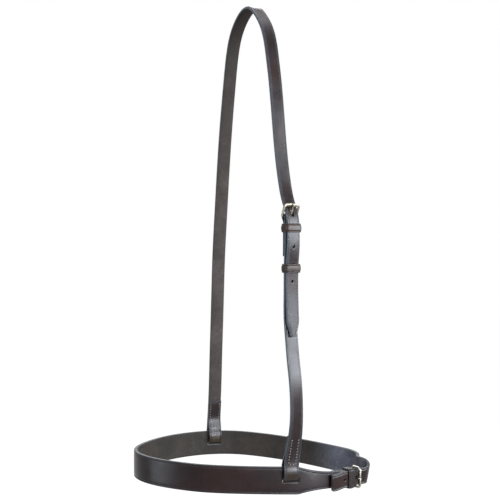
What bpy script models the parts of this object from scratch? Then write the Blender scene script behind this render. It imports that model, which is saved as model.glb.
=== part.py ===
# Plain hunt noseband for a bridle, buckled up, as it hangs from the top of its head strap.
# X runs from the nose to the jaw, Y from the near side to the off side, and Z up.
# The origin lies under the crown of the head strap, where the strap rests on the poll.
import math

import bmesh
import bpy
import numpy as np

mm = 0.001
degree = math.pi / 180

# Leather
band_width = 26.2 * mm
band_thickness = 3.8 * mm
strap_width = 14.3 * mm
strap_thickness = 2.6 * mm
chin_width = 15.9 * mm
billet_width = 16.0 * mm
billet_thickness = 3.0 * mm
fold_thickness = 1.6 * mm        # leather is pared down where it is folded back
leather_gap = 0.3 * mm
edge_bevel = 0.6 * mm
station_step = 5.0 * mm
fold_step = 1.3 * mm

# Nosepiece loop, seen from above
loop_length = 217.0 * mm
loop_width = 184.0 * mm
poll_to_band = 452.0 * mm        # from the crown of the head strap down to the band's top edge
jaw_fall_share = 0.038           # the band hangs lower towards the jaw
side_fall_share = 0.0215         # and lower on the near side
slot_length = 16.4 * mm
slot_floor = 14.0 * mm           # from the band's top edge down to the slot's lower edge
slot_corner = 1.2 * mm
taper_start = 7.5 * mm           # from the middle of the near slot back to the taper
taper_length = 36.0 * mm
skive_length = 18.0 * mm
chape_length = 30.0 * mm         # the end folded back behind the chin strap
billet_length = 69.5 * mm        # from the shoulder at the jaw to the billet's tip
shoulder_length = 15.0 * mm
shoulder_width = 16.8 * mm
billet_taper = 10.0 * mm
chin_tail = 33.5 * mm            # billet past the hinge bar, through the keeper to the tip
tail_stand = 3.0 * mm            # the tip stands off the chape and droops
tail_droop = 1.8 * mm
tail_free = 15.0 * mm            # from the hinge bar to where the tail comes free of the keeper
chin_tip_width = 14.0 * mm
chin_tip_length = 2.2 * mm
chin_hole_pitch = 16.4 * mm
chin_hole_count = 1
lean = 12.0 * degree             # the band leans outwards where it bends round the jaw
lean_from_tip = 57.5 * mm
lean_reach = 19.0 * mm

# Head strap and cheekpiece
tip_length = 16.0 * mm
tip_width = 7.6 * mm
tip_round = 1.6 * mm
billet_reach = 114.0 * mm        # drop from the hinge bar to the tip of the head strap's billet
hole_radius = 1.2 * mm
hole_pitch = 16.4 * mm
hole_count = 4
foot_fold_length = 32.0 * mm     # folded end above the band's top edge, near side
off_fold_length = 36.0 * mm
near_skew = 3.0 * degree         # each strap lies a little askew in its slot
off_skew = -2.0 * degree
band_bow = 0.25 * mm             # the band's curve across the width of a strap
near_turn = 8.0 * degree         # the strap's twist on the near leg and on the off leg
off_turn = -13.0 * degree
cheek_fold_length = 38.0 * mm
fold_settle = 6.5 * mm           # a folded end lies flat this far past its bar

# Buckles
bar_half_thickness = 1.1 * mm
hinge_half_width = 1.1 * mm
side_half_width = 1.1 * mm
front_half_width = 1.7 * mm
buckle_corner = 2.7 * mm
hinge_corner = 1.5 * mm
bar_clearance = 0.25 * mm
tongue_thickness = 1.5 * mm
tongue_width = 2.3 * mm
tongue_tip_width = 1.4 * mm
tongue_overhang = 2.2 * mm
tongue_nose_drop = 0.7 * mm
tongue_slot_width = 3.0 * mm
crew_slot_width = 3.2 * mm
cheek_buckle_length = 11.8 * mm  # from the hinge bar to the front bar, middle to middle
cheek_buckle_tilt = 24.6 * degree
cheek_dive = 29.0 * degree       # the strap's slope under the front bar, against the cheekpiece
cheek_slack = 1.5 * mm           # between the strap and the front bar
chin_buckle_length = 10.6 * mm
chin_buckle_tilt = 108.0 * degree    # the frame stands out from the leather, away from the jaw
chin_tongue_hole = 2.3 * mm          # half the length of the hole round the tongue
chin_room = 0.5 * mm                 # between the strap's edge and the frame

# Keepers
keeper_leather = 1.1 * mm
keeper_swell = 0.25 * mm
keeper_corner = 2.3 * mm
runner_ease = 0.3 * mm           # the runner is looser than the fixed keepers
cheek_keeper_width = 8.4 * mm
cheek_keeper_start = 11.0 * mm   # from the hinge bar down to the keeper's middle
runner_gap = 38.3 * mm           # between the middles of the keeper and the runner
chin_keeper_width = 8.8 * mm
chin_keeper_start = 5.8 * mm     # from the hinge bar to the keeper

overrun = 1.0 * mm

# The loop from above, from the hinge bar of the chin buckle round the nose to the billet,
# as shares of the loop's length and width
loop_shares = [
    (0.3244, -0.459), (0.290, -0.474), (0.189, -0.485), (0.069, -0.460), (-0.099, -0.394), (-0.314, -0.283),
    (-0.413, -0.195), (-0.490, -0.089), (-0.535, 0.027), (-0.534, 0.148), (-0.475, 0.267),
    (-0.373, 0.371), (-0.267, 0.444), (-0.155, 0.488), (-0.034, 0.503), (0.084, 0.475),
    (0.185, 0.393), (0.336, 0.164), (0.432, -0.080), (0.4585, -0.177), (0.448, -0.2685),
    (0.4140, -0.3386), (0.4175, -0.3908), (0.4040, -0.437), (0.3774, -0.4641),
]

# The head strap from the band on the off side up to the crown: its distance from the middle
# as a share of the off foot's, and its drop as a share of the drop to the band
off_leg_shares = [
    (0.941, 0.919), (0.908, 0.819), (0.876, 0.720), (0.847, 0.622), (0.820, 0.548),
    (0.750, 0.426), (0.691, 0.330), (0.620, 0.235), (0.533, 0.142), (0.451, 0.074),
    (0.337, 0.032), (0.150, 0.003),
]

# The same from the crown down the near side to the front bar of the cheek buckle
near_leg_shares = [
    (0.111, 0.003), (0.224, 0.020), (0.365, 0.049), (0.474, 0.088), (0.541, 0.134),
    (0.596, 0.179), (0.676, 0.268), (0.758, 0.356), (0.875, 0.432),
]

# The billet below the cheek buckle, outside the cheekpiece: how far it stands off the
# cheekpiece, as a share of the strap's thickness, at each share of the drop to the band
billet_stand_shares = [
    (0.490, 0.44), (0.515, 0.50), (0.545, 0.44), (0.568, 0.14), (0.585, 0.0), (0.64, 0.0), (0.74, 0.0),
]

# The cheekpiece from the hinge bar of the buckle down to the band
cheek_shares = [
    (0.959, 0.477), (0.961, 0.512), (0.960, 0.548), (0.951, 0.590), (0.949, 0.640),
    (0.950, 0.690), (0.984, 0.736), (1.021, 0.778), (1.066, 0.818), (1.092, 0.860),
    (1.093, 0.900), (1.069, 0.932), (1.024, 0.966),
]


def clear_scene():
    for item in list(bpy.data.objects):
        bpy.data.objects.remove(item, do_unlink=True)


def make_material(name, colour, roughness, metallic):
    material = bpy.data.materials.new(name)
    material.use_nodes = True
    shader = material.node_tree.nodes["Principled BSDF"]
    shader.inputs["Base Color"].default_value = (*colour, 1)
    shader.inputs["Roughness"].default_value = roughness
    shader.inputs["Metallic"].default_value = metallic
    material.diffuse_color = (*colour, 1)
    return material


def ease(share):
    share = np.clip(share, 0, 1)
    return share * share * (3 - 2 * share)


def unit(vectors):
    vectors = np.asarray(vectors, float)
    return vectors / np.linalg.norm(vectors, axis=-1, keepdims=True)


# A natural cubic spline through values at their knots, read at the given places
def spline(knots, values, places):
    gaps = np.diff(knots)
    count = len(knots)
    system = np.eye(count)
    right = np.zeros_like(values)
    for i in range(1, count - 1):
        system[i, i - 1:i + 2] = gaps[i - 1], 2 * (gaps[i - 1] + gaps[i]), gaps[i]
        rise = (values[i + 1] - values[i]) / gaps[i]
        right[i] = 6 * (rise - (values[i] - values[i - 1]) / gaps[i - 1])
    bend = np.linalg.solve(system, right)
    k = np.clip(np.searchsorted(knots, places) - 1, 0, count - 2)
    gap = gaps[k][:, None]
    before = (knots[k + 1] - places)[:, None]
    after = (places - knots[k])[:, None]
    curved = bend[k] * before ** 3 + bend[k + 1] * after ** 3
    low = (values[k] / gap - bend[k] * gap / 6) * before
    high = (values[k + 1] / gap - bend[k + 1] * gap / 6) * after
    return curved / (6 * gap) + low + high


# A smooth route through the points, with stations a steady step apart
def smooth_route(points, step):
    points = np.asarray(points, float)
    reach = np.linalg.norm(np.diff(points, axis=0), axis=1)
    knots = np.concatenate([[0], np.cumsum(np.sqrt(reach))])
    fine = spline(knots, points, np.linspace(0, knots[-1], 40 * len(points)))
    return even_stations(fine, step)


def distances(route):
    return np.concatenate([[0], np.cumsum(np.linalg.norm(np.diff(route, axis=0), axis=1))])


def even_stations(route, step):
    along = distances(route)
    count = max(2, int(round(along[-1] / step)) + 1)
    return at_distance(route, along, np.linspace(0, along[-1], count))


def at_distance(values, along, places):
    values = np.asarray(values, float)
    if values.ndim == 1:
        return np.interp(places, along, values)
    return np.stack([np.interp(places, along, column) for column in values.T], axis=-1)


def tangents(route):
    return unit(np.gradient(route, axis=0))


# The half circle of a fold, from one side of its centre round the ahead direction to the other
def fold_arc(centre, side, ahead, radius):
    count = max(5, int(round(math.pi * radius / fold_step)) + 1)
    turn = np.linspace(0, math.pi, count)[:, None]
    return centre + radius * (np.cos(turn) * side + np.sin(turn) * ahead)


# A closed strap: at each station a rectangle with bevelled corners stands across the route
def strap_object(name, spine, wide, out, half_width, half_depth, material, bevel=edge_bevel):
    half_width = np.broadcast_to(half_width, len(spine))
    half_depth = np.broadcast_to(half_depth, len(spine))
    cut = np.minimum(bevel, np.minimum(half_depth, half_width) / 2)
    across = np.stack([
        -half_width, -half_width, cut - half_width, half_width - cut,
        half_width, half_width, half_width - cut, cut - half_width], axis=1)
    deep = np.stack([
        cut - half_depth, half_depth - cut, half_depth, half_depth,
        half_depth - cut, cut - half_depth, -half_depth, -half_depth], axis=1)
    rings = spine[:, None] + across[..., None] * wide[:, None] + deep[..., None] * out[:, None]
    return ring_object(name, rings, material, False)


# Faces between neighbouring rings, closed at the ends or joined round
def ring_object(name, rings, material, joined):
    count, size = rings.shape[:2]
    faces = []
    for i in range(count if joined else count - 1):
        j = (i + 1) % count
        for k in range(size):
            m = (k + 1) % size
            faces.append((i * size + k, i * size + m, j * size + m, j * size + k))
    if not joined:
        faces.append(tuple(range(size - 1, -1, -1)))
        faces.append(tuple((count - 1) * size + k for k in range(size)))
    return mesh_object(name, rings.reshape(-1, 3), faces, material)


def mesh_object(name, points, faces, material):
    mesh = bpy.data.meshes.new(name)
    mesh.from_pydata([tuple(point) for point in points], [], faces)
    work = bmesh.new()
    work.from_mesh(mesh)
    if work.calc_volume(signed=True) < 0:
        bmesh.ops.reverse_faces(work, faces=work.faces)
    work.to_mesh(mesh)
    work.free()
    mesh.shade_smooth()
    mesh.set_sharp_from_angle(angle=35 * degree)
    item = bpy.data.objects.new(name, mesh)
    bpy.context.scene.collection.objects.link(item)
    if material:
        mesh.materials.append(material)
    return item


# Sets an object's origin on its joint's axis without moving its mesh
def set_origin(item, place):
    place = np.asarray(place, float)
    count = len(item.data.vertices)
    points = np.empty(3 * count)
    item.data.vertices.foreach_get("co", points)
    item.data.vertices.foreach_set("co", (points.reshape(-1, 3) - place).ravel())
    item.location = place


# A prism for cutting: a flat outline in two directions, pushed both ways along the third
def prism(outline, centre, first, second, half_depth):
    depth = unit(np.cross(first, second))
    flat = centre + outline[:, :1] * first + outline[:, 1:] * second
    count = len(outline)
    points = np.concatenate([flat - half_depth * depth, flat + half_depth * depth])
    faces = [(k, (k + 1) % count, count + (k + 1) % count, count + k) for k in range(count)]
    faces += [tuple(range(count - 1, -1, -1)), tuple(range(count, 2 * count))]
    return points, faces


def rounded_box(half_length, half_height, radius, steps=4):
    radius = min(radius, half_length, half_height)
    points = []
    corners = ((1, 1), (-1, 1), (-1, -1), (1, -1))
    for quarter, (x, y) in enumerate(corners):
        for turn in np.linspace(0, 1, steps) + quarter:
            angle = turn * math.pi / 2
            points.append((
                x * (half_length - radius) + radius * math.cos(angle),
                y * (half_height - radius) + radius * math.sin(angle)))
    return np.array(points)


def round_hole(radius, sides=12):
    turn = np.arange(sides) * 2 * math.pi / sides
    return radius * np.stack([np.cos(turn), np.sin(turn)], axis=1)


# Prisms that don't meet are joined in one hidden cutter and taken out by one Boolean
def cut_out(item, label, prisms):
    points = []
    faces = []
    for more_points, more_faces in prisms:
        start = len(points)
        points.extend(more_points)
        faces.extend(tuple(start + k for k in face) for face in more_faces)
    cutter = mesh_object(item.name + "_" + label, points, faces, None)
    cutter.hide_render = True
    cutter.display_type = "WIRE"
    boolean = item.modifiers.new(label, "BOOLEAN")
    boolean.operation = "DIFFERENCE"
    boolean.solver = "EXACT"
    boolean.object = cutter


# Buckle frame: a rounded rectangle of bar, wider at the front and round at the hinge.
# ahead points from the hinge bar to the front bar, out away from the leather
def buckle_frame(name, hinge, ahead, out, across, length, opening, material):
    half = opening / 2 + side_half_width
    front = rounded_corner(length, half, buckle_corner)
    back = rounded_corner(0, half, -hinge_corner)
    near = np.concatenate([back, front])
    path = np.concatenate([near, near[::-1] * (1, -1)])
    joined = np.concatenate([path[-1:], path, path[:1]])
    heading = unit(joined[2:] - joined[:-2])
    normal = np.stack([heading[:, 1], -heading[:, 0]], axis=1)
    along = path[:, 0] / length
    lateral = np.abs(normal[:, 1])
    end_width = np.where(along > 0.5, front_half_width, hinge_half_width)
    width = end_width * (1 - lateral) + side_half_width * lateral
    turn = (np.arange(10) + 0.5) * 2 * math.pi / 10
    lay = np.sign(np.cos(turn)) * np.abs(np.cos(turn)) ** 0.8
    rise = np.sign(np.sin(turn)) * np.abs(np.sin(turn)) ** 0.8
    plane = path[:, None] + (width[:, None] * lay)[..., None] * normal[:, None]
    height = np.broadcast_to(bar_half_thickness * rise, plane.shape[:2])
    rings = hinge + plane[..., :1] * ahead + plane[..., 1:] * across + height[..., None] * out
    return ring_object(name, rings, material, True)


# One corner of the frame's middle line; a negative radius turns it at the hinge end
def rounded_corner(end, half, radius, steps=6):
    turn = np.linspace(0, math.pi / 2, steps)
    size = abs(radius)
    if radius > 0:
        x = end - size + size * np.sin(turn)
        y = half - size + size * np.cos(turn)
    else:
        x = end + size - size * np.cos(turn)
        y = half - size + size * np.sin(turn)
    return np.stack([x, y], axis=1)


# Tongue: flat wire looped round the hinge bar, then straight out to rest on the front bar
def buckle_tongue(name, hinge, ahead, out, across, length, material):
    reach = bar_half_thickness + bar_clearance + tongue_thickness / 2
    turn = np.linspace(-5 * degree, -270 * degree, 18)
    loop = reach * np.stack([np.cos(turn), np.sin(turn)], axis=1)
    run = np.linspace(0, 1, 8)[1:]
    straight = np.stack([run * length, np.full(len(run), reach)], axis=1)
    nose = np.linspace(0, 1, 4)[1:]
    tip = np.stack([length + nose * tongue_overhang, reach - nose ** 2 * tongue_nose_drop], axis=1)
    path = np.concatenate([loop, straight, tip])
    heading = tangents(path)
    lift = np.stack([-heading[:, 1], heading[:, 0]], axis=1)
    spine = hinge + path[:, :1] * ahead + path[:, 1:] * out
    normal = lift[:, :1] * ahead + lift[:, 1:] * out
    wide = np.broadcast_to(across, spine.shape)
    narrow = ease((path[:, 0] / length - 0.2) / 0.9)
    half_width = (tongue_width + (tongue_tip_width - tongue_width) * narrow) / 2
    half_depth = np.full(len(path), tongue_thickness / 2)
    half_depth[-1] *= 0.55
    return strap_object(name, spine, wide, normal, half_width, half_depth, material, tongue_thickness / 4)


# Keeper: a leather loop round the layers. Its outside swells between two creases
def keeper(name, spine, wide, out, half_width, low, high, material):
    count = len(spine)
    share = np.linspace(0, 1, count)
    crease = np.exp(-((np.minimum(share, 1 - share) - 0.2) / 0.06) ** 2)
    swell = keeper_swell * (np.sin(math.pi * share) ** 0.5 - crease)
    rings = []
    for side, wall in ((1, keeper_leather + swell), (-1, np.zeros(count))):
        ring = []
        for i in range(count):
            outline = rounded_box(
                half_width + wall[i], (high[i] - low[i]) / 2 + wall[i],
                keeper_corner if side > 0 else keeper_corner / 3)
            centre = spine[i] + out[i] * (high[i] + low[i]) / 2
            ring.append(centre + outline[:, :1] * wide[i] + outline[:, 1:] * out[i])
        rings.append(np.array(ring))
    loft = np.concatenate([rings[0], rings[1][::-1]])
    return ring_object(name, loft, material, True)


def band_middle(plan):
    drop = poll_to_band + band_width / 2 + jaw_fall_share * plan[:, 0] - side_fall_share * plan[:, 1]
    return np.column_stack([plan, -drop])


# Stations with values smoothly spread along a strap, found from how far each station is
class Strap:
    def __init__(self, route, wide, out):
        self.route = route
        self.wide = wide
        self.out = out
        self.along = distances(route)

    def at(self, places):
        places = np.atleast_1d(np.asarray(places, float))
        return (
            at_distance(self.route, self.along, places),
            unit(at_distance(self.wide, self.along, places)),
            unit(at_distance(self.out, self.along, places)))

    # The route moved outwards by an offset at each place
    def offset(self, places, amount):
        spot, wide, out = self.at(places)
        return spot + np.asarray(amount, float).reshape(-1, 1) * out


up = np.array([0.0, 0.0, 1.0])


# The upright band along a plan route; outwards is to the left of its heading
def band_strap(plan):
    route = band_middle(plan)
    heading = tangents(plan)
    out = np.column_stack([-heading[:, 1], heading[:, 0], np.zeros(len(plan))])
    return Strap(route, np.broadcast_to(up, out.shape), out)


# The whole band leans outwards where it bends round the jaw, and its tail droops
def settled(strap):
    from_tip = strap.along[-1] - strap.along
    angle = lean * ease(1 - np.abs(from_tip - lean_from_tip) / lean_reach)[:, None]
    wide = np.cos(angle) * strap.wide + np.sin(angle) * strap.out
    out = np.cos(angle) * strap.out - np.sin(angle) * strap.wide
    droop = tail_droop * ease(1 - from_tip / (chin_tail - tail_free))[:, None]
    return Strap(strap.route - droop * up, wide, out)


# How far a folded end lies behind the main layer: it closes up past the bar or the band
def folded_offset(run, start, settle_from, settle_over, thickness):
    layer = thickness / 2 + leather_gap + fold_thickness / 2
    return start + (layer - start) * ease((run - settle_from) / settle_over)


def chape_thickness(from_hinge):
    return fold_thickness + (band_thickness - fold_thickness) * ease(from_hinge / skive_length)


# Nosepiece, with the chape folded round the hinge bar and the billet drawn through the buckle
def plan_points(shares):
    return np.array(shares) * (loop_length, loop_width)


loop_plan = smooth_route(plan_points(loop_shares), station_step / 5)
chin = band_strap(loop_plan)
hinge_reach = bar_half_thickness + leather_gap + fold_thickness / 2
chin_spot, chin_up, chin_out = (value[0] for value in chin.at(0))
chin_ahead = np.cross(chin_up, chin_out)
chin_hinge = chin_spot - hinge_reach * chin_out


def turned(vector, towards, angle):
    return math.cos(angle) * vector + math.sin(angle) * towards


chin_frame_ahead = turned(chin_ahead, chin_out, chin_buckle_tilt)
chin_frame_out = turned(chin_out, -chin_ahead, chin_buckle_tilt)

# The billet goes straight through the frame and its tail lies outside the chape
tail_places = np.array([0, 0.15, 0.3, 0.42, 0.6, 0.8, 1]) * chin_tail
tail_offset = chape_thickness(tail_places) / 2 + leather_gap + billet_thickness / 2
tail_offset += tail_stand * ease((tail_places - tail_free) / (chin_tail - tail_free))
chin_tail_points = chin.offset(tail_places, tail_offset)[:, :2]

whole_plan = smooth_route(
    np.concatenate([plan_points(loop_shares), chin_tail_points]), station_step / 5)
whole = settled(band_strap(whole_plan))
whole_length = whole.along[-1]


# Where the loop crosses the plane of the head strap, on one side
def crossing(side):
    x = whole.route[:, 0]
    y = whole.route[:, 1] * side
    hits = np.nonzero((x[:-1] * x[1:] <= 0) & (y[:-1] > 0))[0]
    i = hits[0]
    share = x[i] / (x[i] - x[i + 1])
    return whole.along[i] + share * (whole.along[i + 1] - whole.along[i])


near_slot = crossing(-1)
off_slot = crossing(1)


def nosepiece_half_width(along):
    narrow = (band_width - chin_width) / 2
    behind_slot = np.clip((near_slot - taper_start - along) / taper_length, 0, 1)
    near_cut = narrow * (1 - (1 - behind_slot) ** 2)
    past = along - (whole_length - billet_length)
    corner = np.clip(past / shoulder_length, 0, 1)
    first = (band_width - shoulder_width) / 2
    shoulder = first * (1 - np.sqrt(1 - corner ** 2) * 0.6 - (1 - ease(corner)) * 0.4)
    last = (band_width - billet_width) / 2
    later = (last - first) * ease((past - shoulder_length / 2) / billet_taper)
    tip = (billet_width - chin_tip_width) / 2
    tip_share = np.clip((along - (whole_length - chin_tip_length)) / chin_tip_length, 0, 1)
    return band_width / 2 - near_cut - shoulder - later - tip * tip_share ** 2


def nosepiece_thickness(along):
    thinning = ease((along - (whole_length - billet_length)) / billet_taper)
    billet = (band_thickness - billet_thickness) * thinning
    return np.minimum(chape_thickness(along), band_thickness - billet)


def nosepiece(material):
    count = int(round(whole_length / station_step)) + 1
    places = np.linspace(0, whole_length, count)
    busy = np.concatenate([
        np.arange(0, skive_length, fold_step * 2),
        whole_length - billet_length + np.linspace(0, shoulder_length, 6),
        np.arange(whole_length - chin_tail - chin_buckle_length * 2, whole_length, fold_step * 2)])
    places = np.unique(np.concatenate([places, busy]))
    keep = np.concatenate([np.diff(places) > fold_step / 2, [True]])
    places = places[keep]
    spot, wide, out = whole.at(places)
    half_width = nosepiece_half_width(places)
    half_depth = nosepiece_thickness(places) / 2

    # The fold round the hinge bar and the end behind the chin strap, as stations before the first
    arc = fold_arc(chin_hinge, chin_out, chin_ahead, hinge_reach)[1:-1]
    arc_out = unit(arc - chin_hinge)
    back = np.arange(0, chape_length, fold_step * 2)
    behind = folded_offset(back, 2 * hinge_reach, 0, fold_settle, chape_thickness(back))
    back_spot = chin.offset(back, -behind)
    back_out = -chin.at(back)[2]
    start_spot = np.concatenate([back_spot[::-1], arc[::-1]])
    start_out = np.concatenate([back_out[::-1], arc_out[::-1]])
    start_depth = np.full(len(start_spot), fold_thickness / 2)
    start_width = np.full(len(start_spot), chin_width / 2)
    start_depth[0] *= 0.6
    item = strap_object(
        "nosepiece",
        np.concatenate([start_spot, spot]),
        np.concatenate([np.broadcast_to(up, start_spot.shape), wide]),
        np.concatenate([start_out, out]),
        np.concatenate([start_width, half_width]),
        np.concatenate([start_depth, half_depth]), material)

    slot_tail = (hinge_reach + fold_thickness / 2) * math.tan(max(0, chin_buckle_tilt - math.pi / 2))
    cut_out(item, "tongue_slot", [crew_slot(chin_hinge, chin_ahead, chin_out, chin_up, slot_tail)])
    cuts = [strap_slot(near_slot), strap_slot(off_slot)]
    tongue_place = chin_tongue_place()
    for step in range(chin_hole_count + 1):
        place = tongue_place + step * chin_hole_pitch
        outline = round_hole(hole_radius)
        if step == 0:
            outline = rounded_box(chin_tongue_hole, tongue_slot_width / 2, tongue_slot_width / 2)
        cuts.append(strap_cut(whole, place, outline, billet_thickness))
    cut_out(item, "slots_and_holes", cuts)
    return item


# The slot's outline reaches from the slot's floor up over the space that the folded strap needs
skew_reach = band_thickness / 2 + band_bow + strap_width / 2 * math.tan(near_skew)
fold_reach = skew_reach + leather_gap + strap_thickness / 2
fold_outer = fold_reach + strap_thickness / 2
fold_inner = math.sqrt((skew_reach + leather_gap) ** 2 - (skew_reach + leather_gap / 2) ** 2)
slot_height = fold_outer - fold_inner + 2 * leather_gap
fold_depth = slot_floor - leather_gap - fold_outer   # fold's centre below the band's top edge


def strap_slot(place):
    spot, wide, out = (value[0] for value in whole.at(place))
    along = np.cross(wide, out)
    middle = spot + (band_width / 2 - slot_floor + slot_height / 2) * wide
    outline = rounded_box(slot_length / 2, slot_height / 2, slot_corner)
    return prism(outline, middle, along, wide, band_thickness / 2 + overrun)


# A cut straight through a strap, with its outline along and across the strap
def strap_cut(strap, place, outline, thickness):
    spot, wide, out = (value[0] for value in strap.at(place))
    along = np.cross(wide, out)
    return prism(outline, spot, along, wide, thickness / 2 + leather_gap)


# The slot in a folded chape that lets the tongue swing on the hinge bar; it reaches further
# back where the tongue leans back on its way out
def crew_slot(hinge, ahead, out, across, tail=0):
    radius = hinge_reach + fold_thickness / 2 + leather_gap / 2
    back = bar_half_thickness + bar_clearance + tongue_thickness + 2 * leather_gap + tail
    turn = np.linspace(-math.pi / 2, math.pi / 2, 9)
    nose = radius * np.stack([np.cos(turn), np.sin(turn)], axis=1)
    outline = np.concatenate([nose, [(-back, radius), (-back, -radius)]])
    return prism(outline, hinge, ahead, out, crew_slot_width / 2)


# Where the billet crosses the tongue's line, found by stepping along the strap
def tongue_crossing(strap, hinge, ahead, out, length, places):
    spot = strap.at(places)[0] - hinge
    height = spot @ out - (bar_half_thickness + bar_clearance + tongue_thickness / 2)
    inside = (spot @ ahead > 0) & (spot @ ahead < length)
    gap = np.where(inside, np.abs(height), 1)
    return places[int(np.argmin(gap))]


def chin_tongue_place():
    places = np.linspace(whole_length - chin_tail - chin_buckle_length, whole_length - tail_free, 400)
    return tongue_crossing(whole, chin_hinge, chin_frame_ahead, chin_frame_out, chin_buckle_length, places)


def tongue_hole(length):
    return rounded_box(length / 3, tongue_slot_width / 2, tongue_slot_width / 2)


# Feet of the head strap and the cheekpiece: through the slot and up again inside the band
def foot(slot_place, sign, skew):
    spot, wide, out = (value[0] for value in whole.at(slot_place))
    top = spot[2] + band_width / 2
    centre = np.array([spot[0], spot[1], top - fold_depth])
    heading = math.atan2(-sign * out[0], sign * out[1])
    return centre, top, heading + skew


near_centre, near_top, near_heading = foot(near_slot, -1, near_skew)
off_centre, off_top, off_heading = foot(off_slot, 1, off_skew)


def facing(turn, sign):
    wide = np.stack([np.cos(turn), np.sin(turn), np.zeros_like(turn)], axis=-1)
    out = sign * np.stack([-np.sin(turn), np.cos(turn), np.zeros_like(turn)], axis=-1)
    return wide, out


# A strap that hangs in the plane of the head: the twist of each station and its outward side
def hanging_strap(route, turn):
    heading = tangents(route)
    wide = np.stack([np.cos(turn), np.sin(turn), np.zeros(len(route))], axis=-1)
    out = unit(np.cross(heading, wide))
    wide = unit(np.cross(out, heading))
    return Strap(route, wide, out)


near_foot_reach = -near_centre[1] + fold_reach * math.cos(near_heading)
off_foot_reach = off_centre[1] + fold_reach * math.cos(off_heading)


def leg_points(shares, reach, sign):
    table = np.array(shares)
    return np.column_stack([
        np.zeros(len(table)), sign * reach * table[:, 0], -poll_to_band * table[:, 1]])


def foot_points(centre, top, heading, sign):
    out = facing(np.array(heading), sign)[1]
    side = centre + fold_reach * out
    lift = top - centre[2]
    return [side, side + lift / 2 * up, side + lift * up]


# Cheekpiece: from the hinge bar of the cheek buckle down outside the band and into the slot
cheek_top = leg_points(cheek_shares, near_foot_reach, -1)
cheek_wide, cheek_out = facing(np.array(near_turn), -1)
cheek_points = np.concatenate([
    cheek_top, np.array(foot_points(near_centre, near_top, near_heading, -1))[::-1]])
cheek_route = smooth_route(cheek_points, station_step / 5)


# The twist eases from the leg's own turn to the foot's heading over the last stretch
def foot_twist(route, top, leg_turn, foot_turn):
    reach = foot_fold_length * 1.8
    share = ease((top + reach - route[:, 2]) / reach)
    return leg_turn + (foot_turn - leg_turn) * share


cheek = hanging_strap(
    cheek_route, foot_twist(cheek_route, near_top, near_turn, near_heading))
cheek_length = cheek.along[-1]
cheek_start, cheek_start_wide, cheek_start_out = (value[0] for value in cheek.at(0))
cheek_hinge = cheek_start - hinge_reach * cheek_start_out
cheek_ahead = np.cross(cheek_start_out, cheek_start_wide)
cheek_frame_ahead = turned(cheek_ahead, cheek_start_out, cheek_buckle_tilt)
cheek_frame_out = turned(cheek_start_out, -cheek_ahead, cheek_buckle_tilt)


def cheek_thickness(from_hinge):
    return fold_thickness + (strap_thickness - fold_thickness) * ease(from_hinge / skive_length)


def folded_end(strap, places, amount):
    spot, wide, out = strap.at(places)
    return spot - amount[:, None] * out, wide, -out


def foot_end(strap, centre, heading, sign, foot_place, rising, fold_length):
    wide, out = facing(np.array(heading), sign)
    arc = fold_arc(centre, out, -up, fold_reach)[1:-1]
    arc_out = unit(arc - centre)
    arc_wide = np.broadcast_to(wide, arc.shape)
    steps = np.arange(0, fold_length + fold_depth, fold_step * 2)
    behind = folded_offset(
        steps, 2 * fold_reach, fold_depth + leather_gap, fold_length / 2, strap_thickness)
    return arc, arc_wide, arc_out, folded_end(strap, foot_place + rising * steps, behind)


def cheekpiece(material):
    places = np.arange(0, cheek_length, station_step)
    close = np.concatenate([np.arange(0, skive_length, fold_step * 2), [cheek_length]])
    places = np.unique(np.concatenate([places, close]))
    places = places[np.concatenate([np.diff(places) > fold_step / 2, [True]])]
    spot, wide, out = cheek.at(places)
    half_depth = cheek_thickness(places) / 2

    top_arc = fold_arc(cheek_hinge, cheek_start_out, cheek_ahead, hinge_reach)[1:-1]
    top_out = unit(top_arc - cheek_hinge)
    back = np.arange(0, cheek_fold_length, fold_step * 2)
    behind = folded_offset(back, 2 * hinge_reach, 0, fold_settle, cheek_thickness(back))
    back_spot, back_wide, back_out = folded_end(cheek, back, behind)
    low_arc, low_wide, low_out, low_end = foot_end(
        cheek, near_centre, near_heading, -1, cheek_length, -1, foot_fold_length)
    spine = np.concatenate([back_spot[::-1], top_arc[::-1], spot, low_arc, low_end[0]])
    wides = np.concatenate([
        back_wide[::-1], np.broadcast_to(cheek_start_wide, top_arc.shape), wide, low_wide, low_end[1]])
    outs = np.concatenate([back_out[::-1], top_out[::-1], out, low_out, low_end[2]])
    before = len(back_spot) + len(top_arc)
    after = len(low_end[0])
    depth = np.concatenate([
        np.full(before, fold_thickness / 2), half_depth,
        np.full(len(low_arc), strap_thickness / 2),
        np.linspace(strap_thickness, fold_thickness, after) / 2])
    width = np.full(len(spine), strap_width / 2)
    width[[0, -1]] *= 0.8
    item = strap_object("cheekpiece", spine, wides, outs, width, depth, material)
    cut_out(item, "tongue_slot", [crew_slot(cheek_hinge, cheek_ahead, cheek_start_out, cheek_start_wide)])
    return item


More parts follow.
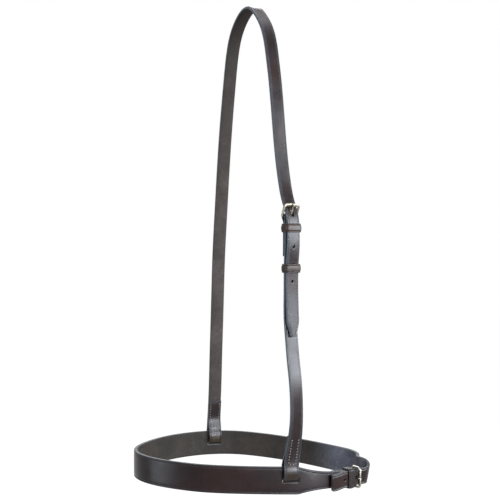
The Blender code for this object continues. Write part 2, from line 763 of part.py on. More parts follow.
# Head strap: off foot, off leg, crown, near leg, through the cheek buckle and down as the billet
def head_strap_points():
    off_foot = foot_points(off_centre, off_top, off_heading, 1)
    legs = np.concatenate([
        leg_points(off_leg_shares, off_foot_reach, 1),
        np.array([[0, 0, strap_thickness / 2]]),
        leg_points(near_leg_shares, near_foot_reach, -1)])
    front = cheek_hinge + cheek_buckle_length * cheek_frame_ahead
    lift = turned(cheek_start_out, cheek_ahead, cheek_dive)
    under = front - (bar_half_thickness + cheek_slack + strap_thickness / 2) * lift
    lift = turned(cheek_start_out, cheek_ahead, cheek_dive * 0.75)
    above = cheek_hinge + (
        hinge_reach + fold_thickness / 2 + leather_gap + strap_thickness / 2) * lift
    stand = np.array(billet_stand_shares)
    places = np.interp(-stand[:, 0] * poll_to_band, cheek.route[::-1, 2], cheek.along[::-1])
    layer = cheek_thickness(places) / 2 + leather_gap + strap_thickness / 2
    over = cheek.offset(places, layer + stand[:, 1] * strap_thickness)
    return np.concatenate([np.array(off_foot), legs, [under, above], over])


head_route = smooth_route(head_strap_points(), station_step / 5)


def head_twist(route):
    crown = int(np.argmax(route[:, 2]))
    share = np.clip(-route[:, 2] / (poll_to_band / 2), 0, 1)
    near = near_turn * ease(share)
    off = foot_twist(route, off_top, off_turn, off_heading) * ease(share)
    return np.where(np.arange(len(route)) > crown, near, off)


head = hanging_strap(head_route, head_twist(head_route))
billet_end = billet_reach - cheek_hinge[2]
head_tip = float(np.interp(
    billet_end, -head.route[len(head.route) // 2:, 2], head.along[len(head.route) // 2:]))


def head_strap(material):
    places = np.arange(0, head_tip, station_step)
    buckle_from = head_tip - billet_end - cheek_hinge[2] - 2 * cheek_buckle_length
    close = np.arange(buckle_from, buckle_from + 3 * cheek_buckle_length, fold_step * 2)
    tip = head_tip - np.array([tip_length, tip_length / 2, tip_round, tip_round / 2, 0])
    places = np.unique(np.concatenate([places, close, tip]))
    places = places[np.concatenate([np.diff(places) > fold_step / 3, [True]])]
    spot, wide, out = head.at(places)
    to_tip = head_tip - places
    taper = (strap_width - tip_width) / 2 * ease(1 - to_tip / tip_length)
    corner = tip_round * (1 - np.sqrt(np.clip(1 - (1 - to_tip / tip_round) ** 2, 0, 1)))
    half_width = strap_width / 2 - taper - np.where(to_tip < tip_round, corner, 0)

    arc, arc_wide, arc_out, end = foot_end(head, off_centre, off_heading, 1, 0, 1, off_fold_length)
    spine = np.concatenate([end[0][::-1], arc[::-1], spot])
    wides = np.concatenate([end[1][::-1], arc_wide[::-1], wide])
    outs = np.concatenate([end[2][::-1], arc_out[::-1], out])
    after = len(end[0])
    depth = np.concatenate([
        np.linspace(fold_thickness, strap_thickness, after) / 2,
        np.full(len(arc) + len(spot), strap_thickness / 2)])
    start_width = np.full(after + len(arc), strap_width / 2)
    start_width[0] *= 0.8
    item = strap_object(
        "head_strap", spine, wides, outs, np.concatenate([start_width, half_width]), depth, material)

    search = np.linspace(buckle_from, buckle_from + 3 * cheek_buckle_length, 400)
    tongue_place = tongue_crossing(
        head, cheek_hinge, cheek_frame_ahead, cheek_frame_out, cheek_buckle_length, search)
    cuts = [strap_cut(head, tongue_place, tongue_hole(cheek_buckle_length), strap_thickness)]
    for step in range(1, hole_count + 1):
        cuts.append(strap_cut(head, tongue_place + step * hole_pitch, round_hole(hole_radius), strap_thickness))
    cut_out(item, "holes", cuts)
    return item


# The billet's outer face over a place on the cheekpiece, measured from the cheekpiece's middle
def billet_face(strap, base, places):
    spot, wide, out = base.at(places)
    faces = []
    for i in range(len(spot)):
        near = strap.route - spot[i]
        height = near @ out[i]
        side = np.linalg.norm(near - height[:, None] * out[i], axis=1)
        side = np.where(height > 0, side, 1)
        faces.append(height[int(np.argmin(side))])
    return np.array(faces)


def cheek_keeper(name, middle, material, sliding):
    places = middle + np.linspace(-0.5, 0.5, 11) * cheek_keeper_width
    spot, wide, out = cheek.at(places)
    main = cheek_thickness(places) / 2
    high = billet_face(head, cheek, places) + strap_thickness / 2 + leather_gap
    low = -main - leather_gap
    if not sliding:
        behind = folded_offset(places, 2 * hinge_reach, 0, fold_settle, 2 * main)
        low = -behind - fold_thickness / 2 - leather_gap
    if sliding:
        wide = np.broadcast_to(cheek.at(middle)[1], wide.shape)
        out = np.broadcast_to(cheek.at(middle)[2], out.shape)
        heading = unit(spot[-1] - spot[0])
        spot = cheek.at(middle)[0] + (places - middle)[:, None] * heading
        high = np.full(len(places), high.max() + runner_ease)
        low = np.full(len(places), low.min() - runner_ease)
    half_width = strap_width / 2 + leather_gap + (runner_ease if sliding else 0)
    return keeper(name, spot, wide, out, half_width, low, high, material)


def chin_keeper(material):
    places = chin_keeper_start + np.linspace(0, 1, 13) * chin_keeper_width
    spot, wide, out = chin.at(places)
    main = chape_thickness(places) / 2
    high = billet_face(whole_tail, chin, places) + billet_thickness / 2 + leather_gap
    behind = folded_offset(places, 2 * hinge_reach, 0, fold_settle, 2 * main)
    low = -behind - fold_thickness / 2 - leather_gap
    half_width = max(chin_width, billet_width) / 2 + leather_gap
    return keeper("chin_keeper", spot, wide, out, half_width, low, high, material)


whole_tail = Strap(whole.route[-80:], whole.wide[-80:], whole.out[-80:])

clear_scene()
leather = make_material("Havana leather", (0.036, 0.026, 0.024), 0.42, 0.0)
keeper_tan = make_material("Keeper leather", (0.062, 0.032, 0.024), 0.3, 0.0)
nickel = make_material("Nickel plate", (0.62, 0.6, 0.55), 0.18, 1.0)

nosepiece(leather)
head_strap(leather)
cheekpiece(leather)
cheek_frame = buckle_frame(
    "cheek_buckle_frame", cheek_hinge, cheek_frame_ahead, cheek_frame_out, cheek_start_wide,
    cheek_buckle_length, strap_width + 2 * leather_gap, nickel)
cheek_tongue = buckle_tongue(
    "cheek_buckle_tongue", cheek_hinge, cheek_frame_ahead, cheek_frame_out, cheek_start_wide,
    cheek_buckle_length, nickel)
chin_frame = buckle_frame(
    "chin_buckle_frame", chin_hinge, chin_frame_ahead, chin_frame_out, chin_up,
    chin_buckle_length, chin_width + 2 * chin_room, nickel)
chin_tongue = buckle_tongue(
    "chin_buckle_tongue", chin_hinge, chin_frame_ahead, chin_frame_out, chin_up,
    chin_buckle_length, nickel)
runner_place = cheek_keeper_start + runner_gap
cheek_keeper("cheek_fixed_keeper", cheek_keeper_start, keeper_tan, False)
runner = cheek_keeper("cheek_runner_keeper", runner_place, keeper_tan, True)
chin_keeper(keeper_tan)
set_origin(cheek_frame, cheek_hinge)
set_origin(cheek_tongue, cheek_hinge)
set_origin(chin_frame, chin_hinge)
set_origin(chin_tongue, chin_hinge)
set_origin(runner, cheek.at(runner_place)[0][0])

print("near slot", np.round(near_centre / mm, 2), "off slot", np.round(off_centre / mm, 2))
print("cheek hinge", np.round(cheek_hinge / mm, 2), "axis", np.round(cheek_start_wide, 4))
print("chin hinge", np.round(chin_hinge / mm, 2), "axis", np.round(chin_up, 4))
print("loop length", round(whole_length / mm, 1), "head strap", round(head_tip / mm, 1))
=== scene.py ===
import math

import bmesh
import bpy
import numpy as np
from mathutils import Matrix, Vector


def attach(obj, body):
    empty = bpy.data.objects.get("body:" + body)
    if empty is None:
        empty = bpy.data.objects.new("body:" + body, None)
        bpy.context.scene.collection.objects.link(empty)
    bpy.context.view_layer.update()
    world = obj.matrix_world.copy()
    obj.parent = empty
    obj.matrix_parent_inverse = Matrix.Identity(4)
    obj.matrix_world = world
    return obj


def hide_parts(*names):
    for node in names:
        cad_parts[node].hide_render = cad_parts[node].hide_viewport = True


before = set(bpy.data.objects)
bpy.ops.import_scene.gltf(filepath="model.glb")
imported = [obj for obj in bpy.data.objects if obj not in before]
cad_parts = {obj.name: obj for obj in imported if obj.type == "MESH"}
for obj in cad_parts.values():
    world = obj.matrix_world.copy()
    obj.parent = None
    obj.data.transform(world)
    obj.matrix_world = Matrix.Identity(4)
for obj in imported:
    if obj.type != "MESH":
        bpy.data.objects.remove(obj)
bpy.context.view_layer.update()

mm = 0.001
degree = math.pi / 180
up = np.array([0.0, 0.0, 1.0])
gap = 0.3 * mm            # between pieces that lie on each other
routeStep = 1.0 * mm      # between the points of a strap's line
arcStep = 0.8 * mm        # between the points of a fold
holeSides = 20            # round one billet hole
searchSteps = 400         # places that the search for a tongue's hole tries
cutGap = 4.0 * mm         # the edge distance given to the points that a cut makes
endShares = (0.45, 0.75, 0.95)   # a pared end thins out over its last three stations

print("frame loaded:", len(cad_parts), "nodes")

# Settings for each piece: its lengths, told in millimetres, then its angles and shares

def inMillimetres(**lengths):
    return {name: length * mm for name, length in lengths.items()}


nosepieceSet = inMillimetres(
    width=26.2, thickness=3.8, top=452.0, loopLength=217.0, loopWidth=184.0, slotLength=15.5,
    slotFloor=14.0, slotCorner=1.2, slotFlare=0.7, taperStart=7.5, taperLength=36.0, chinWidth=15.9,
    chape=30.0, skive=18.0, billet=69.5, billetWidth=16.0, billetThickness=3.0, shoulder=15.0,
    shoulderWidth=16.8, billetTaper=10.0, tail=33.5, tailStand=3.0, tailDroop=1.8, tailFree=15.0,
    tipWidth=14.0, tipLength=2.2, holePitch=16.4, leanFromTip=57.5, leanReach=19.0, edge=1.0,
    creaseIn=1.9, creaseDepth=0.36, creaseWidth=0.38, step=1.7)
nosepieceSet.update(
    jawFall=0.038, sideFall=0.0215, shoulderRound=0.6, holeCount=1, lean=12.0 * degree)

strapSet = inMillimetres(
    width=14.3, thickness=2.6, folded=1.6, tipLength=16.0, tipWidth=7.6, tipRound=1.6, holeRadius=1.2,
    holePitch=16.4, bow=0.25, nearFold=32.0, offFold=36.0, cheekFold=38.0, settle=6.5,
    billetReach=114.0, edge=0.8, creaseIn=1.75, creaseDepth=0.26, creaseWidth=0.34, dome=0.12,
    holeFlare=0.2, pullUp=5.0, step=1.8, nearSwell=1.8, nearSwellAt=3.6, nearSwellReach=5.2,
    offSwell=1.5, offSwellAt=1.0, offSwellReach=6.2)
# topBend, nearBend and offBend scale the painted warm reflection at the buckle folds and at the two feet
strapSet.update(
    holeCount=4, nearSkew=3.0 * degree, offSkew=-2.0 * degree, nearTurn=8.0 * degree,
    offTurn=-13.0 * degree, topBend=0.6, twistFolds=1.8, nearBend=0.55, offBend=1.5)

buckleSet = inMillimetres(
    barHalf=1.1, hingeHalf=1.1, sideHalf=1.1, frontHalf=1.7, corner=2.7, hingeCorner=1.5,
    clearance=0.25, tongue=1.5, tongueWidth=2.3, tongueTip=1.4, overhang=2.2, noseDrop=0.7,
    cheekLength=11.8, cheekSlack=1.5, chinLength=10.6, chinHole=2.3, chinRoom=0.5, crewSlot=3.2,
    holeSlot=3.0)
buckleSet.update(
    cheekTilt=24.6 * degree, cheekDive=29.0 * degree, diveEnd=0.75, chinTilt=108.0 * degree,
    frameStations=160, framePower=0.85, tonguePower=0.7, curlFrom=-5 * degree, curlTo=-270 * degree,
    narrowFrom=0.2, narrowOver=0.9, tipStations=5, tipDepthShare=0.45, tipWidthShare=0.5)

keeperSet = inMillimetres(
    leather=1.1, swell=0.42, corner=2.7, ease=0.3, cheekWidth=8.4, cheekStart=11.0, runnerGap=38.3,
    chinWidth=8.8, chinStart=5.8, rounding=0.35)
keeperSet.update(
    tailStations=80, creaseAt=0.17, creaseReach=0.035, creaseShare=0.8, swellPower=0.8, roundReach=0.03)

stitchSet = inMillimetres(
    pitch=2.84, length=1.6, radius=0.4, hole=0.8, nearRows=3.4, nearFrom=5.0, offRows=4.9, offFrom=8.4,
    cheekRows=4.9, cheekFrom=17.5, chinRows=5.2, chinFrom=16.5, bow=0.34, lift=0.08)
stitchSet.update(
    slant=26.0 * degree, footCount=9, cheekCount=7, chinCount=4, sunk=0.35, holeLong=1.7, holeSunk=0.4)

# Shares of the loop's length and width, seen from above, from the chin buckle round the nose
loopShares = [
    (0.3244, -0.459), (0.290, -0.474), (0.189, -0.485), (0.069, -0.460), (-0.099, -0.394),
    (-0.314, -0.283), (-0.413, -0.195), (-0.490, -0.089), (-0.535, 0.027), (-0.534, 0.148),
    (-0.475, 0.267), (-0.373, 0.371), (-0.267, 0.444), (-0.155, 0.488), (-0.034, 0.503),
    (0.084, 0.475), (0.185, 0.393), (0.336, 0.164), (0.432, -0.080), (0.4585, -0.177),
    (0.448, -0.2685), (0.4140, -0.3386), (0.4175, -0.3908), (0.4040, -0.437), (0.3774, -0.4641)]
offLegShares = [
    (0.941, 0.919), (0.908, 0.819), (0.876, 0.720), (0.847, 0.622), (0.820, 0.548),
    (0.750, 0.426), (0.691, 0.330), (0.620, 0.235), (0.533, 0.142), (0.451, 0.074),
    (0.337, 0.032), (0.150, 0.003)]
nearLegShares = [
    (0.111, 0.003), (0.224, 0.020), (0.365, 0.049), (0.474, 0.088), (0.541, 0.134),
    (0.596, 0.179), (0.676, 0.268), (0.758, 0.356), (0.875, 0.432)]
billetStandShares = [
    (0.490, 0.44), (0.515, 0.50), (0.545, 0.44), (0.568, 0.14), (0.585, 0.0), (0.64, 0.0),
    (0.74, 0.0)]
cheekShares = [
    (0.959, 0.477), (0.961, 0.512), (0.960, 0.548), (0.951, 0.590), (0.949, 0.640),
    (0.950, 0.690), (0.984, 0.736), (1.021, 0.778), (1.066, 0.818), (1.092, 0.860),
    (1.093, 0.900), (1.069, 0.932), (1.024, 0.966)]


# Curves and straps

def unit(vectors):
    vectors = np.asarray(vectors, float)
    return vectors / np.linalg.norm(vectors, axis=-1, keepdims=True)


def joined(*parts):
    return np.concatenate(parts)


def ease(share):
    share = np.clip(share, 0, 1)
    return share * share * (3 - 2 * share)   # 3 s squared minus 2 s cubed


# Natural cubic spline: the bend at each knot comes from one linear system
def spline(knots, values, places):
    gaps = np.diff(knots)
    count = len(knots)
    system = np.eye(count)
    right = np.zeros_like(values)
    inner = np.arange(1, count - 1)
    system[inner, inner - 1] = gaps[:-1]
    system[inner, inner] = 2 * (gaps[:-1] + gaps[1:])
    system[inner, inner + 1] = gaps[1:]
    rise = np.diff(values, axis=0) / gaps[:, None]
    right[1:-1] = 6 * np.diff(rise, axis=0)
    bend = np.linalg.solve(system, right)
    k = np.clip(np.searchsorted(knots, places) - 1, 0, count - 2)
    width = gaps[k][:, None]
    before = (knots[k + 1] - places)[:, None]
    after = (places - knots[k])[:, None]
    curved = (bend[k] * before ** 3 + bend[k + 1] * after ** 3) / (6 * width)
    low = (values[k] / width - bend[k] * width / 6) * before
    high = (values[k + 1] / width - bend[k + 1] * width / 6) * after
    return curved + low + high


def distances(route):
    return joined([0], np.cumsum(np.linalg.norm(np.diff(route, axis=0), axis=1)))


def atDistance(values, along, places):
    columns = [np.interp(places, along, column) for column in np.asarray(values, float).T]
    return np.stack(columns, axis=-1)


# A smooth line through the points, with stations a steady step apart
def smoothRoute(points):
    points = np.asarray(points, float)
    knots = joined([0], np.cumsum(np.sqrt(np.linalg.norm(np.diff(points, axis=0), axis=1))))
    fine = spline(knots, points, np.linspace(0, knots[-1], 40 * len(points)))
    along = distances(fine)
    count = int(round(along[-1] / routeStep)) + 1
    return atDistance(fine, along, np.linspace(0, along[-1], count))


def tangents(route):
    return unit(np.gradient(route, axis=0))


# Half a circle round a bar, from one side of it over the ahead direction to the other
def foldArc(centre, side, ahead, radius):
    turn = np.linspace(0, math.pi, max(7, int(math.pi * radius / arcStep) + 1))[:, None]
    return centre + radius * (np.cos(turn) * side + np.sin(turn) * ahead)


# Points on a circle, in the plane of their section
def circle(radius, turn):
    return radius * np.stack([np.cos(turn), np.sin(turn)], axis=1)


def turned(vector, towards, angle):
    return math.cos(angle) * vector + math.sin(angle) * towards


# A line of stations, each with the strap's width direction and its outward direction
class Strap:
    def __init__(self, route, wide, out):
        self.route = route
        self.wide = wide
        self.out = out
        self.along = distances(route)

    def at(self, places):
        places = np.atleast_1d(np.asarray(places, float))
        return (
            atDistance(self.route, self.along, places),
            unit(atDistance(self.wide, self.along, places)),
            unit(atDistance(self.out, self.along, places)))

    def one(self, place):
        return tuple(value[0] for value in self.at(place))

    def offset(self, places, amount):
        spot, wide, out = self.at(places)
        return spot + amount[:, None] * out


# The upright nosepiece over its line seen from above; it hangs lower at the jaw and on the near side
def bandStrap(plan):
    s = nosepieceSet
    drop = s["top"] + s["width"] / 2 + s["jawFall"] * plan[:, 0] - s["sideFall"] * plan[:, 1]
    heading = tangents(plan)
    out = np.column_stack([-heading[:, 1], heading[:, 0], np.zeros(len(plan))])
    return Strap(np.column_stack([plan, -drop]), np.broadcast_to(up, out.shape), out)


# The nosepiece leans outwards where it bends round the jaw, by lean times ease of one minus the
# distance from that place over the reach. Its tail droops by an ease over its free length.
def settled(strap):
    s = nosepieceSet
    fromTip = strap.along[-1] - strap.along
    angle = s["lean"] * ease(1 - np.abs(fromTip - s["leanFromTip"]) / s["leanReach"])[:, None]
    wide = np.cos(angle) * strap.wide + np.sin(angle) * strap.out
    out = np.cos(angle) * strap.out - np.sin(angle) * strap.wide
    droop = s["tailDroop"] * ease(1 - fromTip / (s["tail"] - s["tailFree"]))[:, None]
    return Strap(strap.route - droop * up, wide, out)


# A strap that hangs in the plane of the head, turned about its own line
def hangingStrap(route, turn):
    heading = tangents(route)
    wide = np.stack([np.cos(turn), np.sin(turn), np.zeros(len(route))], axis=-1)
    out = unit(np.cross(heading, wide))
    return Strap(route, unit(np.cross(out, heading)), out)


# How far a folded end lies behind its main layer: it closes up past the bar or the nosepiece
def foldedOffset(run, start, settleFrom, settleOver, thickness):
    layer = thickness / 2 + gap + strapSet["folded"] / 2
    return start + (layer - start) * ease((run - settleFrom) / settleOver)


def skived(run, full):
    return strapSet["folded"] + (full - strapSet["folded"]) * ease(run / nosepieceSet["skive"])


# How far the folded end at a buckle lies behind its strap
def foldBehind(places, full):
    return foldedOffset(places, 2 * hingeReach, 0, strapSet["settle"], skived(places, full))


# The lines of all straps, worked out once from the settings

def planPoints(shares):
    return np.array(shares) * (nosepieceSet["loopLength"], nosepieceSet["loopWidth"])


chin = bandStrap(smoothRoute(planPoints(loopShares)))
hingeReach = buckleSet["barHalf"] + gap + strapSet["folded"] / 2


# A hinge bar behind the start of its strap, and the directions of the frame that leans from it
class Hinge:
    def __init__(self, strap, part, sign):
        start, self.wide, self.out = strap.one(0)
        self.spot = start - hingeReach * self.out
        self.ahead = sign * np.cross(self.wide, self.out)
        self.tilt = buckleSet[part + "Tilt"]
        self.frameAhead = turned(self.ahead, self.out, self.tilt)
        self.frameOut = turned(self.out, -self.ahead, self.tilt)
        self.length = buckleSet[part + "Length"]


chinHinge = Hinge(chin, "chin", 1)
billetHalf = nosepieceSet["billetThickness"] / 2
tailPlaces = np.array([0, 0.15, 0.3, 0.42, 0.6, 0.8, 1]) * nosepieceSet["tail"]
tailRise = ease((tailPlaces - nosepieceSet["tailFree"]) / (nosepieceSet["tail"] - nosepieceSet["tailFree"]))
tailOffset = skived(tailPlaces, nosepieceSet["thickness"]) / 2 + gap + billetHalf
tailPoints = chin.offset(tailPlaces, tailOffset + nosepieceSet["tailStand"] * tailRise)[:, :2]
whole = settled(bandStrap(smoothRoute(joined(planPoints(loopShares), tailPoints))))
wholeLength = whole.along[-1]


def crossing(side):
    x = whole.route[:, 0]
    y = whole.route[:, 1] * side
    i = np.nonzero((x[:-1] * x[1:] <= 0) & (y[:-1] > 0))[0][0]
    return whole.along[i] + x[i] / (x[i] - x[i + 1]) * (whole.along[i + 1] - whole.along[i])


skewReach = (
    nosepieceSet["thickness"] / 2 + strapSet["bow"]
    + strapSet["width"] / 2 * math.tan(strapSet["nearSkew"]))
foldReach = skewReach + gap + strapSet["thickness"] / 2
foldOuter = foldReach + strapSet["thickness"] / 2
foldInner = math.sqrt((skewReach + gap) ** 2 - (skewReach + gap / 2) ** 2)
slotHeight = foldOuter - foldInner + 2 * gap
foldDepth = nosepieceSet["slotFloor"] - gap - foldOuter


# Where a strap goes through the nosepiece: the middle of its fold, and the way that the fold faces
class Foot:
    def __init__(self, name, sign):
        self.name = name
        self.sign = sign
        self.slot = crossing(sign)
        self.fold = strapSet[name + "Fold"]
        spot, wide, out = whole.one(self.slot)
        turn = math.atan2(-sign * out[0], sign * out[1]) + strapSet[name + "Skew"]
        self.turn = turn
        self.wide = np.array([math.cos(turn), math.sin(turn), 0])
        self.out = sign * np.array([-math.sin(turn), math.cos(turn), 0])
        self.top = spot[2] + nosepieceSet["width"] / 2
        self.centre = np.array([spot[0], spot[1], self.top - foldDepth])
        self.reach = sign * self.centre[1] + foldReach * math.cos(turn)

    # The strap's points from the fold up to the nosepiece's top edge
    def points(self):
        side = self.centre + foldReach * self.out
        lift = self.top - self.centre[2]
        return np.array([side, side + lift / 2 * up, side + lift * up])

    # Points up the leg of the strap from shares of the foot's reach and of the drop
    def leg(self, shares):
        y, z = np.array(shares).T * [[self.sign * self.reach], [-nosepieceSet["top"]]]
        return np.column_stack([0 * y, y, z])

    # The strap turns from its own angle to the foot's over the last stretch
    def twist(self, route):
        legTurn = strapSet[self.name + "Turn"]
        stretch = strapSet["nearFold"] * strapSet["twistFolds"]
        return legTurn + (self.turn - legTurn) * ease((self.top + stretch - route[:, 2]) / stretch)


nearFoot = Foot("near", -1)
offFoot = Foot("off", 1)
cheekRoute = smoothRoute(joined(nearFoot.leg(cheekShares), nearFoot.points()[::-1]))
cheek = hangingStrap(cheekRoute, nearFoot.twist(cheekRoute))
cheekLength = cheek.along[-1]
cheekHinge = Hinge(cheek, "cheek", -1)


def headPoints():
    half = strapSet["thickness"] / 2
    bar = cheekHinge
    dive = buckleSet["cheekDive"]
    slack = buckleSet["barHalf"] + buckleSet["cheekSlack"] + half
    under = bar.spot + bar.length * bar.frameAhead - slack * turned(bar.out, bar.ahead, dive)
    clear = hingeReach + strapSet["folded"] / 2 + gap + half
    above = bar.spot + clear * turned(bar.out, bar.ahead, dive * buckleSet["diveEnd"])
    stand = np.array(billetStandShares)
    places = np.interp(-stand[:, 0] * nosepieceSet["top"], cheek.route[::-1, 2], cheek.along[::-1])
    layer = skived(places, strapSet["thickness"]) / 2 + gap + half
    over = cheek.offset(places, layer + stand[:, 1] * strapSet["thickness"])
    return joined(
        offFoot.points(), offFoot.leg(offLegShares), [[0, 0, half]], nearFoot.leg(nearLegShares),
        [under, above], over)


headRoute = smoothRoute(headPoints())


def headTwist(route):
    crown = int(np.argmax(route[:, 2]))
    share = ease(-route[:, 2] / (nosepieceSet["top"] / 2))
    return np.where(np.arange(len(route)) > crown, strapSet["nearTurn"], offFoot.twist(route)) * share


head = hangingStrap(headRoute, headTwist(headRoute))
half = len(headRoute) // 2
billetEnd = strapSet["billetReach"] - cheekHinge.spot[2]
headTip = float(np.interp(billetEnd, -head.route[half:, 2], head.along[half:]))
print("strap lines: nosepiece", round(wholeLength, 4), "head strap", round(headTip, 4))


# Meshes

def placed(name, data):
    thing = bpy.data.objects.new(name, data)
    bpy.context.scene.collection.objects.link(thing)
    return thing


def meshPiece(name, points, faces, material, smoothAngle=45 * degree):
    mesh = bpy.data.meshes.new(name)
    mesh.from_pydata(np.asarray(points, float).tolist(), [], faces)
    shape = bmesh.new()
    shape.from_mesh(mesh)
    if shape.calc_volume(signed=True) < 0:
        bmesh.ops.reverse_faces(shape, faces=shape.faces)
        shape.to_mesh(mesh)
    shape.free()
    mesh.shade_smooth()
    if smoothAngle:
        mesh.set_sharp_from_angle(angle=smoothAngle)
    mesh.materials.append(material)
    return placed(name, mesh)


# Quads between neighbouring rings of points; closed ones also from the last ring to the first
def ringFaces(count, size, closed=False):
    i, k = np.meshgrid(np.arange(count if closed else count - 1), np.arange(size), indexing="ij")
    j = (i + 1) % count
    m = (k + 1) % size
    faces = np.stack([i * size + k, i * size + m, j * size + m, j * size + k], axis=-1).reshape(-1, 4)
    return faces.tolist()


# The same with a face over the first ring and one over the last
def cappedFaces(count, size):
    last = (count - 1) * size
    caps = [list(range(size - 1, -1, -1)), list(range(last, last + size))]
    return ringFaces(count, size) + caps


# A section at each station: x along its width direction and z along its outward direction
def sections(spine, x, wide, z, out):
    return spine[:, None] + x[..., None] * wide[..., None, :] + z[..., None] * out[..., None, :]


# Several closed surfaces as one list of points and one of faces
def gathered(surfaces):
    points = []
    faces = []
    for more, moreFaces in surfaces:
        start = len(points)
        points.extend(more)
        faces.extend([start + k for k in face] for face in moreFaces)
    return np.array(points), faces


def setAttribute(mesh, name, values):
    layer = mesh.attributes.new(name, "FLOAT", "POINT")
    layer.data.foreach_set("value", np.asarray(values, np.float32).ravel())


def getAttribute(mesh, name):
    values = np.empty(len(mesh.vertices), np.float32)
    mesh.attributes[name].data.foreach_get("value", values)
    return values


def setUv(mesh, coordinates):
    layer = mesh.uv_layers.new(name="strap")
    index = np.empty(len(mesh.loops), np.int32)
    mesh.loops.foreach_get("vertex_index", index)
    layer.data.foreach_set("uv", np.asarray(coordinates, np.float32)[index].ravel())


# One strap: across each station stands a section with rounded edges and a creased line inside
# both edges of the grain side. A crease is a trough: depth times exp of minus distance squared.
def strapSurface(name, spine, wide, out, halfWidth, halfDepth, look, material, bend=0.0):
    count = len(spine)
    halfWidth = np.broadcast_to(halfWidth, count)[:, None]
    halfDepth = np.broadcast_to(halfDepth, count)[:, None]
    arcCount = 5
    turn = np.linspace(0, math.pi / 2, arcCount)
    arcIn = look["edge"] * (1 - np.cos(turn))
    arcDown = look["edge"] * (1 - np.sin(turn))
    across = np.array([-2.2, -1.5, -0.9, -0.45, 0, 0.45, 0.9, 1.5, 2.2])
    creaseIn = look["creaseIn"] + look["creaseWidth"] * across
    creaseDown = look["creaseDepth"] * np.exp(-((creaseIn - look["creaseIn"]) / look["creaseWidth"]) ** 2)
    frontIn = joined(arcIn, creaseIn)
    frontDown = joined(arcDown, creaseDown)
    middle = np.linspace(-1, 1, 9)[1:-1]
    # A narrow or pared end squeezes the section, so that it never folds over itself
    narrow = np.minimum(1, 0.9 * halfWidth / frontIn[-1])
    thin = np.minimum(1, 0.92 * halfDepth / look["edge"])
    arc = np.arange(len(frontIn)) < arcCount
    down = frontDown * np.where(arc, thin, narrow * np.minimum(1, halfDepth / mm - 0.4))
    inward = frontIn * narrow
    core = halfWidth - inward[:, -1:]
    dome = strapSet["dome"] * (1 - middle ** 2)
    x = np.hstack([
        inward - halfWidth, middle * core, (halfWidth - inward)[:, ::-1],
        (halfWidth - inward)[:, :arcCount], -middle * core, (inward - halfWidth)[:, arcCount - 1::-1]])
    z = np.hstack([
        halfDepth - down, halfDepth + dome * np.clip(halfDepth / mm - 1, 0, 1), (halfDepth - down)[:, ::-1],
        (down - halfDepth)[:, :arcCount], -halfDepth + 0 * middle,
        (down - halfDepth)[:, arcCount - 1::-1]])
    rings = sections(spine, x, wide, z, out)
    piece = meshPiece(name, rings.reshape(-1, 3), cappedFaces(count, x.shape[1]), material)
    u = np.broadcast_to(distances(spine)[:, None], x.shape)
    setUv(piece.data, np.stack([u, x], axis=-1).reshape(-1, 2))
    setAttribute(piece.data, "side", (z / halfDepth).ravel())
    setAttribute(piece.data, "edgeGap", ((np.abs(halfWidth) - np.abs(x)) / mm).ravel())
    # bend carries the share of the painted warm reflection round the folds
    setAttribute(piece.data, "bend", np.broadcast_to(np.reshape(bend, (-1, 1)), x.shape).ravel())
    return piece


# A cutter: a flat outline pushed through the leather from low to high. A flare opens the outline
# towards the grain side, which leaves a bevelled rim.
def prism(outline, centre, first, second, out, low, high, flare=0.0):
    sides = len(outline)
    levels = [(low, outline), (high, outline)]
    if flare:
        grow = flare / np.linalg.norm(outline, axis=1, keepdims=True)
        levels[1:] = [
            (high - flare, outline), (high, outline * (1 + grow)), (high + flare, outline * (1 + 2 * grow))]
    points = joined(*[
        centre + flat[:, :1] * first + flat[:, 1:] * second + height * out for height, flat in levels])
    return points, cappedFaces(len(levels), sides)


def roundedBox(halfLength, halfHeight, radius, steps=6):
    radius = min(radius, halfLength, halfHeight)
    quarter = np.repeat(np.arange(4), steps)
    turn = (np.tile(np.linspace(0, 1, steps), 4) + quarter) * math.pi / 2
    signX = np.array([1, -1, -1, 1])[quarter]
    signY = np.array([1, 1, -1, -1])[quarter]
    return np.stack([
        signX * (halfLength - radius) + radius * np.cos(turn),
        signY * (halfHeight - radius) + radius * np.sin(turn)], axis=1)


def roundHole():
    turn = np.arange(holeSides) * 2 * math.pi / holeSides
    return circle(strapSet["holeRadius"], turn)


# Cuts the prisms out of the piece for good, so that no cutter is left in the scene
def cutOut(piece, prisms):
    cutter = meshPiece("cutter", *gathered(prisms), piece.data.materials[0], 0)
    setAttribute(piece.data, "kept", np.ones(len(piece.data.vertices)))
    cut = piece.modifiers.new("cut", "BOOLEAN")
    cut.operation = "DIFFERENCE"
    cut.solver = "EXACT"
    cut.object = cutter
    graph = bpy.context.evaluated_depsgraph_get()
    old = piece.data
    piece.data = bpy.data.meshes.new_from_object(
        piece.evaluated_get(graph), preserve_all_data_layers=True, depsgraph=graph)
    piece.modifiers.clear()
    bpy.data.meshes.remove(old)
    bpy.data.objects.remove(cutter, do_unlink=True)
    # The points that the cut made take the grain's values, so that no pale ring spreads round a hole
    made = getAttribute(piece.data, "kept") < 0.5
    for name, value in (("side", 1.0), ("edgeGap", cutGap / mm)):
        values = getAttribute(piece.data, name)
        values[made] = value
        piece.data.attributes[name].data.foreach_set("value", values)
    piece.data.attributes.remove(piece.data.attributes["kept"])


# Nodes

